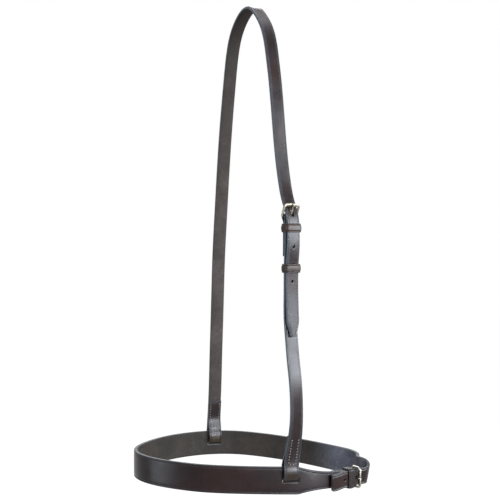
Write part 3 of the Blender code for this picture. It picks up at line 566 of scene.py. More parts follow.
# Short calls for building the nodes of one material or of the world
class Nodes:
    def __init__(self, owner, shader="Principled BSDF", output="Material Output"):
        owner.use_nodes = True
        self.owner = owner
        self.tree = owner.node_tree
        self.shader = self.tree.nodes[shader]
        self.surface = self.tree.nodes[output].inputs["Surface"]

    # Links a socket or sets a value; a colour gets its alpha
    def link(self, source, target):
        if isinstance(source, bpy.types.NodeSocket):
            self.tree.links.new(source, target)
        elif isinstance(source, tuple):
            target.default_value = (*source, 1)[:len(target.default_value)]
        else:
            target.default_value = source

    def fill(self, node, inputs):
        for socket, value in inputs.items():
            self.link(value, node.inputs[socket])

    def add(self, kind, inputs, output=0, **settings):
        node = self.tree.nodes.new("ShaderNode" + kind)
        for name, value in settings.items():
            setattr(node, name, value)
        self.fill(node, inputs)
        return node.outputs[output]

    def math(self, operation, a, b=0.0):
        return self.add("Math", {0: a, 1: b}, operation=operation)

    def times(self, a, b):
        return self.math("MULTIPLY", a, b)

    def plus(self, a, b):
        return self.math("ADD", a, b)

    def minus(self, a, b):
        return self.math("SUBTRACT", a, b)

    def span(self, value, low, high, toLow=0.0, toHigh=1.0):
        inputs = {"Value": value, "From Min": low, "From Max": high, "To Min": toLow, "To Max": toHigh}
        return self.add("MapRange", inputs, interpolation_type="SMOOTHSTEP")

    def mix(self, share, a, b):
        return self.add("Mix", {"Factor": share, 6: a, 7: b}, 2, data_type="RGBA")

    def scaled(self, colour, share):
        return self.add("VectorMath", {0: colour, "Scale": share}, operation="SCALE")

    # 1 at the middle, falling smoothly to 0 at reach on either side
    def hump(self, value, middle, reach):
        return self.span(self.math("ABSOLUTE", self.minus(value, middle)), 0.0, reach, 1.0, 0.0)

    def attribute(self, name):
        return self.add("Attribute", {}, "Fac", attribute_name=name)

    def place(self, stretch=(1, 1, 1)):
        return self.add("Mapping", {"Vector": self.add("TexCoord", {}, "Object"), "Scale": stretch})

    # The strap's own map: metres along it, then metres across
    def strapPlace(self, stretch):
        return self.add("Mapping", {"Vector": self.add("UVMap", {}, uv_map="strap"), "Scale": stretch})

    def noise(self, place, scale, detail=3.0, roughness=0.55):
        inputs = {"Vector": place, "Scale": scale, "Detail": detail, "Roughness": roughness}
        return self.add("TexNoise", inputs, "Fac")

    def bump(self, height, strength, distance, **below):
        return self.add("Bump", {"Height": height, "Strength": strength, "Distance": distance, **below})

    # Camera, transmission and glossy rays see this share of the plain shader, all others the shader
    def showPlain(self, share, plain):
        path = self.tree.nodes.new("ShaderNodeLightPath").outputs
        seen = self.math("MAXIMUM", path["Is Camera Ray"], path["Is Transmission Ray"])
        seen = self.times(self.math("MAXIMUM", seen, path["Is Glossy Ray"]), share)
        self.link(self.add("MixShader", {0: seen, 1: self.shader.outputs[0], 2: plain}), self.surface)


# Painted reflection: the warm brown put round the folds, where the curving face would mirror warm
# surroundings; and the burnished crease
warmFoldReflection = (0.014, 0.0085, 0.0042)
burnished = (0.003, 0.002, 0.002)
# Keepers' flesh side: painted shade, darker up towards Z -0.1 m
keeperPaintedLightRamp = ("Z", -0.6, -0.1)
keeperCrease = 1.4


# Waxed bridle leather. The side attribute runs from 1 on the grain side to -1 on the flesh side,
# edgeGap is the distance from the nearer edge in millimetres, and bend is 1 where a fold is and its painted
# warm reflection goes.
def leatherMaterial(name, grain, warm, flesh, fleshPaintedLight, paintedLightRamp, edge, rough, creaseIn):
    n = Nodes(bpy.data.materials.new(name))
    place = n.place()
    side = n.attribute("side")
    edgeGap = n.attribute("edgeGap")
    grainShare = n.span(side, 0.72, 0.93)
    fleshShare = n.span(side, -0.93, -0.7, 1.0, 0.0)
    edgeShare = n.times(n.minus(1.0, grainShare), n.minus(1.0, fleshShare))
    fine = n.noise(place, 260, 4, 0.6)
    colour = n.mix(n.span(n.noise(place, 22, 3), 0.42, 0.68), grain, warm)

    fibres = n.noise(n.place((1, 1, 0.35)), 900, 3, 0.7)
    # Painted light on the flesh side: it ramps along one axis to a second tone. The nosepiece's flesh is
    # lighter and bluer towards +X, where its inside faces the left lamp. The straps' and keepers' flesh is
    # darker upwards, where the inside faces down into shade
    axis, low, high = paintedLightRamp
    fleshColour = n.mix(n.span(n.add("SeparateXYZ", {0: place}, axis), low, high), flesh, fleshPaintedLight)
    fleshColour = n.scaled(fleshColour, n.span(n.noise(place, 34, 3, 0.6), 0.34, 0.68, 0.72, 1.22))
    fleshColour = n.scaled(fleshColour, n.span(fibres, 0.3, 0.75, 1.0, 1.5))
    # The cut edges take the edge colour: their own lighter tone, painted pale and bluish on the nosepiece
    # and straps as a painted highlight from the lamps and sky
    colour = n.mix(edgeShare, n.mix(fleshShare, colour, fleshColour), edge)

    # The heated creaser leaves a dark burnished line; the lighter lip on either side of it is a painted
    # highlight, where the lips catch the light
    line = n.times(n.hump(edgeGap, creaseIn, 0.42), grainShare)
    creaseLipHighlight = n.plus(n.hump(edgeGap, creaseIn - 0.85, 0.5), n.hump(edgeGap, creaseIn + 0.75, 0.4))
    creaseLipHighlight = n.times(n.times(creaseLipHighlight, grainShare), n.span(fine, 0.3, 0.6, 0.55, 1.0))
    colour = n.mix(n.times(creaseLipHighlight, 0.3), colour, edge)
    colour = n.mix(n.times(line, 0.7), colour, burnished)
    # Faint marks across the strap where it has been bent
    marks = n.times(n.span(n.noise(n.strapPlace((1, 0.05, 1)), 120, 2, 0.5), 0.6, 0.72), grainShare)
    colour = n.mix(n.times(marks, 0.1), colour, edge)
    # Painted reflection: a warm brown round the folds, standing in for warm surroundings mirrored by the
    # curving face
    colour = n.mix(n.times(n.attribute("bend"), n.span(fine, 0.25, 0.7, 0.6, 1.0)), colour, warmFoldReflection)
    colour = n.scaled(colour, n.span(fine, 0.35, 0.75, 0.88, 1.14))

    roughness = n.span(n.noise(place, 60, 3), 0.3, 0.72, rough - 0.03, rough + 0.06)
    roughness = n.plus(n.plus(roughness, n.times(fleshShare, 0.42)), n.times(edgeShare, 0.12))
    pores = n.span(n.add("TexVoronoi", {"Vector": place, "Scale": 3200}, "Distance"), 0.0, 0.5)
    wrinkle = n.noise(n.place((1, 1, 0.6)), 520, 3, 0.6)
    skin = n.times(n.plus(n.times(pores, 0.35), wrinkle), grainShare)
    nap = n.times(fibres, n.plus(fleshShare, n.times(edgeShare, 0.2)))
    height = n.minus(n.plus(n.times(skin, 0.5), n.times(nap, 1.3)), n.times(marks, 0.25))
    wave = n.bump(n.noise(place, 45, 2), 0.1, 0.5 * mm)
    n.fill(n.shader, {
        "Base Color": colour, "Roughness": roughness, "Specular IOR Level": 0.15,
        "Normal": n.bump(height, 0.3, 0.1 * mm, Normal=wave)})
    return n.owner


# Nickel plate, brassy where it is rubbed through, with fine polishing marks. The plate colours given to it
# are darkened well below bright nickel, as painted shade for dark surroundings that it would mirror.
def nickelMaterial(name, plate, rubbed, rough):
    n = Nodes(bpy.data.materials.new(name))
    marks = n.noise(n.place((1, 1, 6)), 500, 4, 0.7)
    n.fill(n.shader, {
        "Base Color": n.mix(n.span(n.noise(n.place(), 190, 3), 0.42, 0.66), plate, rubbed),
        "Roughness": n.span(marks, 0.3, 0.75, rough, rough + 0.14),
        "Normal": n.bump(marks, 0.05, 0.05 * mm), "Metallic": 1.0})
    return n.owner


# Waxed linen thread with its twist
def threadMaterial(name, colour):
    n = Nodes(bpy.data.materials.new(name))
    fuzz = n.noise(n.place(), 1800, 2)
    worn = tuple(0.6 * c for c in colour)
    n.fill(n.shader, {
        "Base Color": n.mix(n.span(fuzz, 0.35, 0.7), colour, worn), "Roughness": 0.62,
        "Normal": n.bump(fuzz, 0.4, 0.08 * mm)})
    return n.owner


# A dull surface between two tones, for the dark rods painted as shade in the awl holes and for the floor,
# which adds to its nodes
def dullMaterial(name, scale, detail, shade, otherShade, rough):
    n = Nodes(bpy.data.materials.new(name))
    n.fill(n.shader, {
        "Base Color": n.mix(n.noise(n.place(), scale, detail), shade, otherShade), "Roughness": rough,
        "Specular IOR Level": 0.1})
    return n


# Nosepiece: its flesh side is painted lighter and bluer towards +X, as light from the left lamp
havana = leatherMaterial(
    "havanaLeather", grain=(0.0046, 0.0022, 0.0024), warm=(0.0085, 0.0036, 0.0032),
    flesh=(0.0096, 0.0074, 0.0058), fleshPaintedLight=(0.042, 0.043, 0.051), paintedLightRamp=("X", 0.078, 0.098),
    # edge: the cut edges' tone with a painted bluish highlight
    edge=(0.017, 0.018, 0.019), rough=0.29, creaseIn=nosepieceSet["creaseIn"] / mm)
# Straps: their flesh side is painted darker up towards the crown, as painted shade
strapLeather = leatherMaterial(
    "strapLeather", grain=(0.0054, 0.0033, 0.0037), warm=(0.0105, 0.0050, 0.0044),
    flesh=(0.0185, 0.0140, 0.0125), fleshPaintedLight=(0.0088, 0.0056, 0.0043), paintedLightRamp=("Z", -0.30, -0.02),
    # edge: the cut edges' tone with a painted bluish highlight, the stronger one
    edge=(0.042, 0.049, 0.056), rough=0.29, creaseIn=strapSet["creaseIn"] / mm)
keeperTan = leatherMaterial(
    "keeperLeather", grain=(0.013, 0.0085, 0.0070), warm=(0.022, 0.0115, 0.0082),
    flesh=(0.02, 0.017, 0.015), fleshPaintedLight=(0.016, 0.013, 0.012), paintedLightRamp=keeperPaintedLightRamp,
    edge=(0.018, 0.015, 0.014), rough=0.39, creaseIn=keeperCrease)
keeperDark = leatherMaterial(
    "chinKeeperLeather", grain=(0.0060, 0.0048, 0.0048), warm=(0.0095, 0.0062, 0.0056),
    flesh=(0.012, 0.010, 0.009), fleshPaintedLight=(0.010, 0.009, 0.008), paintedLightRamp=keeperPaintedLightRamp,
    edge=(0.014, 0.013, 0.013), rough=0.34, creaseIn=keeperCrease)
# Both plates are darkened as painted shade for mirrored dark surroundings. The cheek buckle's is darker
# still, and it also has a rougher finish
nickel = nickelMaterial("nickelPlate", (0.34, 0.33, 0.295), (0.17, 0.15, 0.10), 0.16)
nickelDullShaded = nickelMaterial("nickelDullShaded", (0.21, 0.195, 0.155), (0.12, 0.10, 0.06), 0.34)
linen = threadMaterial("waxedThread", (0.115, 0.08, 0.058))
# Painted shade: a near black for the dark rods in the awl holes
awlHoleShade = dullMaterial("awlShade", 1500, 2, (0.003, 0.003, 0.003), (0.009, 0.007, 0.006), 0.9).owner
print("materials ready")


# Nosepiece

def nosepieceHalfWidth(along):
    s = nosepieceSet
    narrow = (s["width"] - s["chinWidth"]) / 2
    behind = np.clip((nearFoot.slot - s["taperStart"] - along) / s["taperLength"], 0, 1)
    nearCut = narrow * (1 - (1 - behind) ** 2)
    past = along - (wholeLength - s["billet"])
    corner = np.clip(past / s["shoulder"], 0, 1)
    first = (s["width"] - s["shoulderWidth"]) / 2
    shoulder = first * (
        1 - np.sqrt(1 - corner ** 2) * s["shoulderRound"] - (1 - ease(corner)) * (1 - s["shoulderRound"]))
    last = (s["width"] - s["billetWidth"]) / 2
    later = (last - first) * ease((past - s["shoulder"] / 2) / s["billetTaper"])
    tip = (s["billetWidth"] - s["tipWidth"]) / 2
    tipShare = np.clip((along - (wholeLength - s["tipLength"])) / s["tipLength"], 0, 1)
    return s["width"] / 2 - nearCut - shoulder - later - tip * tipShare ** 2


def nosepieceThickness(along):
    s = nosepieceSet
    thinning = ease((along - (wholeLength - s["billet"])) / s["billetTaper"])
    return np.minimum(
        skived(along, s["thickness"]), s["thickness"] - (s["thickness"] - s["billetThickness"]) * thinning)


# Where the tongue meets the strap: of the places, the one nearest to the tongue's own line
def tongueCrossing(strap, bar, places):
    spot = strap.at(places)[0] - bar.spot
    height = spot @ bar.frameOut - (buckleSet["barHalf"] + buckleSet["clearance"] + buckleSet["tongue"] / 2)
    ahead = spot @ bar.frameAhead
    inside = (ahead > 0) & (ahead < bar.length)
    return places[int(np.argmin(np.where(inside, np.abs(height), 1)))]


def strapCut(strap, place, outline, thickness, flare=0.0):
    spot, wide, out = strap.one(place)
    low = thickness / 2 + gap
    high = thickness / 2 if flare else low
    return prism(outline, spot, np.cross(wide, out), wide, out, -low, high, flare)


# The tongue's own hole, then the round ones beyond it
def holeCuts(strap, tongue, halfLength, s, thickness):
    halfSlot = buckleSet["holeSlot"] / 2
    cuts = [strapCut(strap, tongue, roundedBox(halfLength, halfSlot, halfSlot), thickness)]
    for step in range(1, s["holeCount"] + 1):
        place = tongue + step * s["holePitch"]
        cuts.append(strapCut(strap, place, roundHole(), thickness, strapSet["holeFlare"]))
    return cuts


# The slot in a folded end that lets the tongue swing on its bar, longer for a tongue that leans back
def crewSlot(bar):
    fold = hingeReach + strapSet["folded"] / 2
    radius = fold + gap / 2
    tail = fold * math.tan(max(0, bar.tilt - math.pi / 2))
    back = buckleSet["barHalf"] + buckleSet["clearance"] + buckleSet["tongue"] + 2 * gap + tail
    turn = np.linspace(-math.pi / 2, math.pi / 2, 17)
    outline = joined(circle(radius, turn), [(-back, radius), (-back, -radius)])
    width = buckleSet["crewSlot"] / 2
    return prism(outline, bar.spot, bar.ahead, bar.out, np.cross(bar.ahead, bar.out), -width, width)


def slotCut(place):
    s = nosepieceSet
    spot, wide, out = whole.one(place)
    middle = spot + (s["width"] / 2 - s["slotFloor"] + slotHeight / 2) * wide
    outline = roundedBox(s["slotLength"] / 2, slotHeight / 2, s["slotCorner"])
    return prism(
        outline, middle, np.cross(wide, out), wide, out, -s["thickness"] / 2 - mm, s["thickness"] / 2,
        s["slotFlare"])


# A folded end, from where it is pared, round the hinge bar, to the start of its strap: its line,
# its width and outward directions, its half depth and its bend, the share of its painted warm reflection
def foldedEnd(strap, bar, fold, s):
    back = np.arange(0, fold, s["step"])
    arc = foldArc(bar.spot, bar.out, bar.ahead, hingeReach)[-2:0:-1]
    spot, wide, out = (values[::-1] for values in strap.at(back))
    behind = foldBehind(back, s["thickness"])[::-1]
    depth = np.full(len(back) + len(arc), strapSet["folded"] / 2)
    depth[:3] *= endShares
    return (
        joined(spot - behind[:, None] * out, arc), joined(wide, np.broadcast_to(bar.wide, arc.shape)),
        joined(-out, unit(arc - bar.spot)), depth,
        strapSet["topBend"] * joined(foldReflectionShare(back)[::-1], np.ones(len(arc))))


def makeNosepiece():
    s = nosepieceSet
    places = np.unique(joined(
        np.arange(0, wholeLength, s["step"]), np.linspace(wholeLength - s["tipLength"], wholeLength, 8),
        wholeLength - s["billet"] + np.linspace(-1 * mm, s["shoulder"] + mm, 16)))
    places = places[joined(np.diff(places) > 0.25 * mm, [True])]
    fold = foldedEnd(chin, chinHinge, s["chape"], s)
    middle = (*whole.at(places), nosepieceThickness(places) / 2)
    spine, wides, outs, depth = map(joined, fold[:4], middle)
    width = joined(np.full(len(fold[0]), s["chinWidth"] / 2), nosepieceHalfWidth(places))
    piece = strapSurface("nosepieceLeather", spine, wides, outs, width, depth, s, havana)
    cutOut(piece, [crewSlot(chinHinge)])
    search = np.linspace(
        wholeLength - s["tail"] - buckleSet["chinLength"], wholeLength - s["tailFree"], searchSteps)
    tongue = tongueCrossing(whole, chinHinge, search)
    holes = holeCuts(whole, tongue, buckleSet["chinHole"], s, s["billetThickness"])
    cutOut(piece, [slotCut(nearFoot.slot), slotCut(offFoot.slot), *holes])
    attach(piece, "straps")
    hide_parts("nosepiece")


# Feet, cheekpiece and head strap

# How far a foot bulges over its slot: swell times exp of minus squared distance over the reach
def footSwell(distance, foot):
    s = strapSet
    middle, reach = s[foot.name + "SwellAt"], s[foot.name + "SwellReach"]
    return s[foot.name + "Swell"] * np.exp(-((distance - middle) / reach) ** 2)


# Share of the painted warm reflection round the fold: 1 there, easing to 0 over its reach
def foldReflectionShare(distance):
    return ease(1 - (distance - mm) / strapSet["pullUp"])


# A foot, from inside the slot to its pared end behind the strap, in the same five parts
def footEnd(strap, foot, place, rising):
    s = strapSet
    arc = foldArc(foot.centre, foot.out, -up, foldReach)[1:-1]
    turn = np.linspace(0, math.pi, len(arc) + 2)[1:-1]
    bulge = footSwell(-foldReach * turn, foot) - footSwell(-foldReach * (math.pi - turn), foot)
    steps = np.arange(0, foot.fold + foldDepth, s["step"])
    behind = foldedOffset(steps, 2 * foldReach, foldDepth + gap, foot.fold / 2, s["thickness"])
    behind = behind + footSwell(steps, foot)
    spot, wides, outs = strap.at(place + rising * steps)
    depth = np.linspace(s["thickness"], s["folded"], len(steps)) / 2
    depth[-3:] *= endShares[::-1]
    return (
        joined(arc + bulge[:, None] * foot.out, spot - behind[:, None] * outs),
        joined(np.broadcast_to(foot.wide, arc.shape), wides), joined(unit(arc - foot.centre), -outs),
        joined(np.full(len(arc), s["thickness"] / 2), depth),
        s[foot.name + "Bend"] * joined(np.ones(len(arc)), foldReflectionShare(steps)))


def makeCheekpiece():
    s = strapSet
    places = np.unique(joined(np.arange(0, cheekLength, s["step"]), [cheekLength]))
    spot, wide, out = cheek.at(places)
    spot = spot + footSwell(cheekLength - places, nearFoot)[:, None] * out
    # The painted warm reflection at the buckle fold and at the foot
    bend = s["topBend"] * foldReflectionShare(places) + s["nearBend"] * foldReflectionShare(cheekLength - places)
    spine, wides, outs, depth, bend = map(
        joined, foldedEnd(cheek, cheekHinge, s["cheekFold"], s),
        (spot, wide, out, skived(places, s["thickness"]) / 2, bend),
        footEnd(cheek, nearFoot, cheekLength, -1))
    width = s["width"] / 2
    piece = strapSurface("cheekpieceLeather", spine, wides, outs, width, depth, s, strapLeather, bend)
    cutOut(piece, [crewSlot(cheekHinge)])
    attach(piece, "straps")
    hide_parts("cheekpiece")


def makeHeadStrap():
    s = strapSet
    places = np.unique(joined(
        np.arange(0, headTip, s["step"]),
        headTip - s["tipRound"] * (1 - np.sin(np.linspace(0, math.pi / 2, 7)))))
    places = places[joined(np.diff(places) > 0.01 * mm, [True])]
    toTip = headTip - places
    taper = (s["width"] - s["tipWidth"]) / 2 * ease(1 - toTip / s["tipLength"])
    corner = s["tipRound"] * (1 - np.sqrt(np.clip(1 - (1 - toTip / s["tipRound"]) ** 2, 0, 1)))
    halfWidth = s["width"] / 2 - taper - np.where(toTip < s["tipRound"], corner, 0)
    spot, wide, out = head.at(places)
    spot = spot + footSwell(places, offFoot)[:, None] * out
    middle = (spot, wide, out, np.full(len(spot), s["thickness"] / 2), s["offBend"] * foldReflectionShare(places))
    foot = [part[::-1] for part in footEnd(head, offFoot, 0, 1)]
    spine, wides, outs, depth, bend = map(joined, foot, middle)
    width = joined(np.full(len(foot[0]), s["width"] / 2), halfWidth)
    piece = strapSurface("headStrapLeather", spine, wides, outs, width, depth, s, strapLeather, bend)
    begin = headTip - billetEnd - cheekHinge.spot[2] - 2 * cheekHinge.length
    search = np.linspace(begin, begin + 3 * cheekHinge.length, searchSteps)
    tongue = tongueCrossing(head, cheekHinge, search)
    cutOut(piece, holeCuts(head, tongue, cheekHinge.length / 3, s, s["thickness"]))
    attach(piece, "straps")
    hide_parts("head_strap")


makeNosepiece()
makeCheekpiece()
makeHeadStrap()
print("straps ready")


# Keepers: a wall of leather round the layers. Its outside swells by the swell times the sine of the
# share across, raised to a power, between two creases near the edges.
def keeperSurface(name, spine, wide, out, halfWidth, low, high, material, body, node):
    k = keeperSet
    count = len(spine)
    share = np.linspace(0, 1, count)
    fromEdge = np.minimum(share, 1 - share)
    crease = np.exp(-((fromEdge - k["creaseAt"]) / k["creaseReach"]) ** 2)
    swell = k["swell"] * (np.sin(math.pi * share) ** k["swellPower"] - k["creaseShare"] * crease)
    rounded = k["rounding"] * np.exp(-(fromEdge / k["roundReach"]) ** 2)
    wall = k["leather"] + swell - rounded
    rings = []
    for thickness, corner in ((wall, k["corner"]), (0 * share, k["corner"] / 3)):
        flat = np.array([
            roundedBox(halfWidth + t, (hi - lo) / 2 + t, corner, 8)
            for t, lo, hi in zip(thickness, low, high)])
        centre = spine + out * ((high + low) / 2)[:, None]
        rings.append(sections(centre, flat[..., 0], wide, flat[..., 1], out))
    loft = joined(rings[0], rings[1][::-1])
    size = loft.shape[1]
    piece = meshPiece(name, loft.reshape(-1, 3), ringFaces(len(loft), size, True), material)
    sideValue = joined(np.ones(count), -np.ones(count))
    sideValue[[0, count - 1]] = 0.5
    setAttribute(piece.data, "side", np.repeat(sideValue, size))
    gapValue = joined(fromEdge, fromEdge) * np.linalg.norm(spine[-1] - spine[0]) / mm
    setAttribute(piece.data, "edgeGap", np.repeat(gapValue, size))
    u = np.repeat(joined(share, share[::-1]), size)
    v = np.tile(np.linspace(0, 1, size), len(loft))
    setUv(piece.data, np.stack([u, v], axis=1) * 10 * mm)
    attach(piece, body)
    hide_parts(node)


# The billet's middle line over places on another strap, measured outwards from that strap
def billetFace(route, base, places):
    spot, wide, out = base.at(places)
    near = route[None] - spot[:, None]
    height = np.einsum("ijk,ik->ij", near, out)
    side = np.linalg.norm(near - height[..., None] * out[:, None], axis=2)
    side = np.where(height > 0, side, 1)
    return height[np.arange(len(spot)), np.argmin(side, axis=1)]


def cheekKeeper(name, middle, body, node, sliding):
    k = keeperSet
    places = middle + np.linspace(-0.5, 0.5, 41) * k["cheekWidth"]
    spot, wide, out = cheek.at(places)
    high = billetFace(head.route, cheek, places) + strapSet["thickness"] / 2 + gap
    half = strapSet["width"] / 2 + gap
    if sliding:
        centre, midWide, midOut = cheek.one(middle)
        wide = np.broadcast_to(midWide, wide.shape)
        out = np.broadcast_to(midOut, out.shape)
        spot = centre + (places - middle)[:, None] * unit(spot[-1] - spot[0])
        high = np.full(len(places), high.max() + k["ease"])
        low = np.full(len(places), -skived(places, strapSet["thickness"]).max() / 2 - gap - k["ease"])
        half += k["ease"]
    else:
        low = -foldBehind(places, strapSet["thickness"]) - strapSet["folded"] / 2 - gap
    keeperSurface(name, spot, wide, out, half, low, high, keeperTan, body, node)


def chinKeeper():
    k = keeperSet
    places = k["chinStart"] + np.linspace(0, 1, 61) * k["chinWidth"]
    spot, wide, out = chin.at(places)
    high = billetFace(whole.route[-k["tailStations"]:], chin, places) + billetHalf + gap
    low = -foldBehind(places, nosepieceSet["thickness"]) - strapSet["folded"] / 2 - gap
    half = max(nosepieceSet["chinWidth"], nosepieceSet["billetWidth"]) / 2 + gap
    keeperSurface(
        "chinKeeperLeather", spot, wide, out, half, low, high, keeperDark, "straps", "chin_keeper")


runnerPlace = keeperSet["cheekStart"] + keeperSet["runnerGap"]
cheekKeeper("cheekFixedKeeperLeather", keeperSet["cheekStart"], "straps", "cheek_fixed_keeper", False)
cheekKeeper("cheekRunnerKeeperLeather", runnerPlace, "cheek_runner", "cheek_runner_keeper", True)
chinKeeper()
print("keepers ready")


# Buckles: the frame is a bar swept round a rounded rectangle, round at the hinge and flatter in front
def frameCorner(end, halfSpan, radius, back):
    turn = np.linspace(0, math.pi / 2, 14)
    rise, fall = radius * (1 - np.cos(turn)), radius * (1 - np.sin(turn))
    if back:
        return np.stack([end + rise, halfSpan - fall], axis=1)
    return np.stack([end - fall, halfSpan - rise], axis=1)


# A rounded square section: cosine and sine, each keeping its sign and raised to the power
def squareSection(count, power):
    turn = (np.arange(count) + 0.5) * 2 * math.pi / count
    return [np.sign(wave) * np.abs(wave) ** power for wave in (np.cos(turn), np.sin(turn))]


def buckleFrame(name, bar, opening, metal, body, node):
    b = buckleSet
    size = 24
    halfSpan = opening / 2 + b["sideHalf"]
    corner = joined(
        frameCorner(0, halfSpan, b["hingeCorner"], True),
        frameCorner(bar.length, halfSpan, b["corner"], False))
    path = joined(corner, corner[::-1] * (1, -1))
    closed = joined(path, path[:1])
    lengthRound = distances(closed)
    path = atDistance(
        closed, lengthRound, np.linspace(0, lengthRound[-1], b["frameStations"] + 1)[:-1])
    heading = unit(np.roll(path, -1, axis=0) - np.roll(path, 1, axis=0))
    normal = np.stack([heading[:, 1], -heading[:, 0]], axis=1)
    lateral = ease(np.abs(normal[:, 1]) * 1.05)
    endWidth = np.where(path[:, 0] > bar.length / 2, b["frontHalf"], b["hingeHalf"])
    width = endWidth * (1 - lateral) + b["sideHalf"] * lateral
    lay, rise = squareSection(size, b["framePower"])
    plane = path[:, None] + (width[:, None] * lay)[..., None] * normal[:, None]
    height = np.broadcast_to(b["barHalf"] * rise, plane.shape[:2])
    rings = (
        bar.spot + plane[..., :1] * bar.frameAhead + plane[..., 1:] * bar.wide
        + height[..., None] * bar.frameOut)
    piece = meshPiece(name, rings.reshape(-1, 3), ringFaces(len(path), size, True), metal, 0)
    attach(piece, body)
    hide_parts(node)


# The tongue is a flat wire curled round the hinge bar, then straight to the front bar
def buckleTongue(name, bar, metal, body, node):
    b = buckleSet
    size = 16
    reach = b["barHalf"] + b["clearance"] + b["tongue"] / 2
    loop = circle(reach, np.linspace(b["curlFrom"], b["curlTo"], 44))
    run = np.linspace(0, 1, 22)[1:]
    straight = np.stack([run * bar.length, np.full(len(run), reach)], axis=1)
    nose = np.linspace(0, 1, 10)[1:]
    tip = np.stack([bar.length + nose * b["overhang"], reach - nose ** 2 * b["noseDrop"]], axis=1)
    path = joined(loop, straight, tip)
    heading = tangents(path)
    lift = np.stack([-heading[:, 1], heading[:, 0]], axis=1)
    spine = bar.spot + path[:, :1] * bar.frameAhead + path[:, 1:] * bar.frameOut
    normal = lift[:, :1] * bar.frameAhead + lift[:, 1:] * bar.frameOut
    narrow = ease((path[:, 0] / bar.length - b["narrowFrom"]) / b["narrowOver"])
    full = np.sqrt(np.clip(np.arange(len(path))[::-1] / b["tipStations"], 0, 1))
    halfWidth = (b["tongueWidth"] + (b["tongueTip"] - b["tongueWidth"]) * narrow) / 2
    halfWidth = halfWidth * (b["tipWidthShare"] + (1 - b["tipWidthShare"]) * full)
    halfDepth = b["tongue"] / 2 * (b["tipDepthShare"] + (1 - b["tipDepthShare"]) * full)
    a, c = squareSection(size, b["tonguePower"])
    rings = sections(spine, halfWidth[:, None] * a, bar.wide, halfDepth[:, None] * c, normal)
    faces = ringFaces(len(path), size)
    points = rings.reshape(-1, 3)
    k = np.arange(size)
    m = (k + 1) % size
    first = len(points)
    start = first - size
    faces += np.stack([m, k, np.full(size, first)], axis=1).tolist()
    faces += np.stack([start + k, start + m, np.full(size, first + 1)], axis=1).tolist()
    points = joined(points, [points[:size].mean(axis=0), points[start:first].mean(axis=0)])
    piece = meshPiece(name, points, faces, metal, 60 * degree)
    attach(piece, body)
    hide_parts(node)


def makeBuckle(part, bar, opening, metal):
    buckleFrame(part + "BuckleFrame", bar, opening, metal, part + "_buckle", part + "_buckle_frame")
    buckleTongue(part + "BuckleTongue", bar, metal, part + "_tongue", part + "_buckle_tongue")


makeBuckle("cheek", cheekHinge, strapSet["width"] + 2 * gap, nickelDullShaded)
makeBuckle("chin", chinHinge, nosepieceSet["chinWidth"] + 2 * buckleSet["chinRoom"], nickel)
print("buckles ready")


# Stitches: each is a short bowed rod that dips into the leather at both ends. The bow is
# height times one minus t squared, and the rod thins as one minus t to the fourth.
def rodField(centres, along, out, length, radius, height):
    sides, rings = 7, 9
    t = np.linspace(-1, 1, rings)
    turn = np.arange(sides) * 2 * math.pi / sides
    side = unit(np.cross(along, out))
    rise = height * (1 - t ** 2) - stitchSet["sunk"] * radius
    line = sections(centres, (t * length / 2)[None], along, rise[None], out)
    size = radius * np.sqrt(np.clip(1.02 - t ** 4, 0.02, 1))
    ring = sections(0 * centres, np.cos(turn)[None], side, np.sin(turn)[None], out)
    points = line[:, :, None] + size[:, None, None] * ring[:, None]
    one = cappedFaces(rings, sides)
    return gathered((rod.reshape(-1, 3), one) for rod in points)


# The thread slants across its row and dips into an awl hole at each end, where a dark rod is put as painted
# shade
def stitchPiece(name, rows):
    s = stitchSet
    threads = []
    holes = []
    for centres, along, out in rows:
        lay = unit(along + math.tan(s["slant"]) * unit(np.cross(along, out)))
        threads.append(rodField(centres, lay, out, s["length"], s["radius"], s["bow"]))
        ends = centres - along * s["pitch"] / 2 - out * s["holeSunk"] * s["hole"]
        holes.append(rodField(ends, lay, out, s["holeLong"] * s["hole"], s["hole"], 0.0))
    for end, rods, material in (("Thread", threads, linen), ("AwlHoleShade", holes, awlHoleShade)):
        piece = meshPiece(name + end, *gathered(rods), material, 0)
        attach(piece, "straps")


# Rows along a strap's face: places along it, an amount across, the face's height, and whether it is
# the back
def strapRow(strap, places, across, height, flip):
    spot, wide, out = strap.at(places)
    along = unit(strap.at(places + mm)[0] - spot)
    centres = spot + across * wide + height[:, None] * out
    return centres, along, -out if flip else out


# A short row across the strap joins the two long ones at the foot of the stitching
def crossRow(strap, place, reach, height, flip):
    s = stitchSet
    count = int(2 * reach / s["pitch"])
    across = (np.arange(count) - (count - 1) / 2) * s["pitch"]
    spot, wide, out = strap.at(np.full(count, place))
    centres = spot + across[:, None] * wide + height * out
    return centres, wide, -out if flip else out


def footRows(strap, foot, place, rising):
    s = stitchSet
    layer = strapSet["thickness"]
    start = s[foot.name + "From"] + foldDepth
    steps = joined([start - s["pitch"] / 2], start + np.arange(s["footCount"]) * s["pitch"])
    behind = foldedOffset(steps, 2 * foldReach, foldDepth + gap, foot.fold / 2, layer)
    swell = footSwell(steps, foot)
    thin = layer - (layer - strapSet["folded"]) * steps / (foot.fold + foldDepth)
    faces = (layer / 2 + swell + s["lift"], -(behind + swell + thin / 2 + s["lift"]))
    places = place + rising * steps
    reach = s[foot.name + "Rows"]
    rows = [
        strapRow(strap, places[1:], side * reach, height[1:], flip)
        for side in (-1, 1) for flip, height in enumerate(faces)]
    return rows + [crossRow(strap, places[0], reach, height[0], flip) for flip, height in enumerate(faces)]


# Rows on the back of a folded end behind its buckle, where nothing lies over them
def foldRows(strap, part, full):
    s = stitchSet
    places = s[part + "From"] + np.arange(s[part + "Count"]) * s["pitch"]
    back = -(foldBehind(places, full) + strapSet["folded"] / 2 + s["lift"])
    return [strapRow(strap, places, side * s[part + "Rows"], back, True) for side in (-1, 1)]


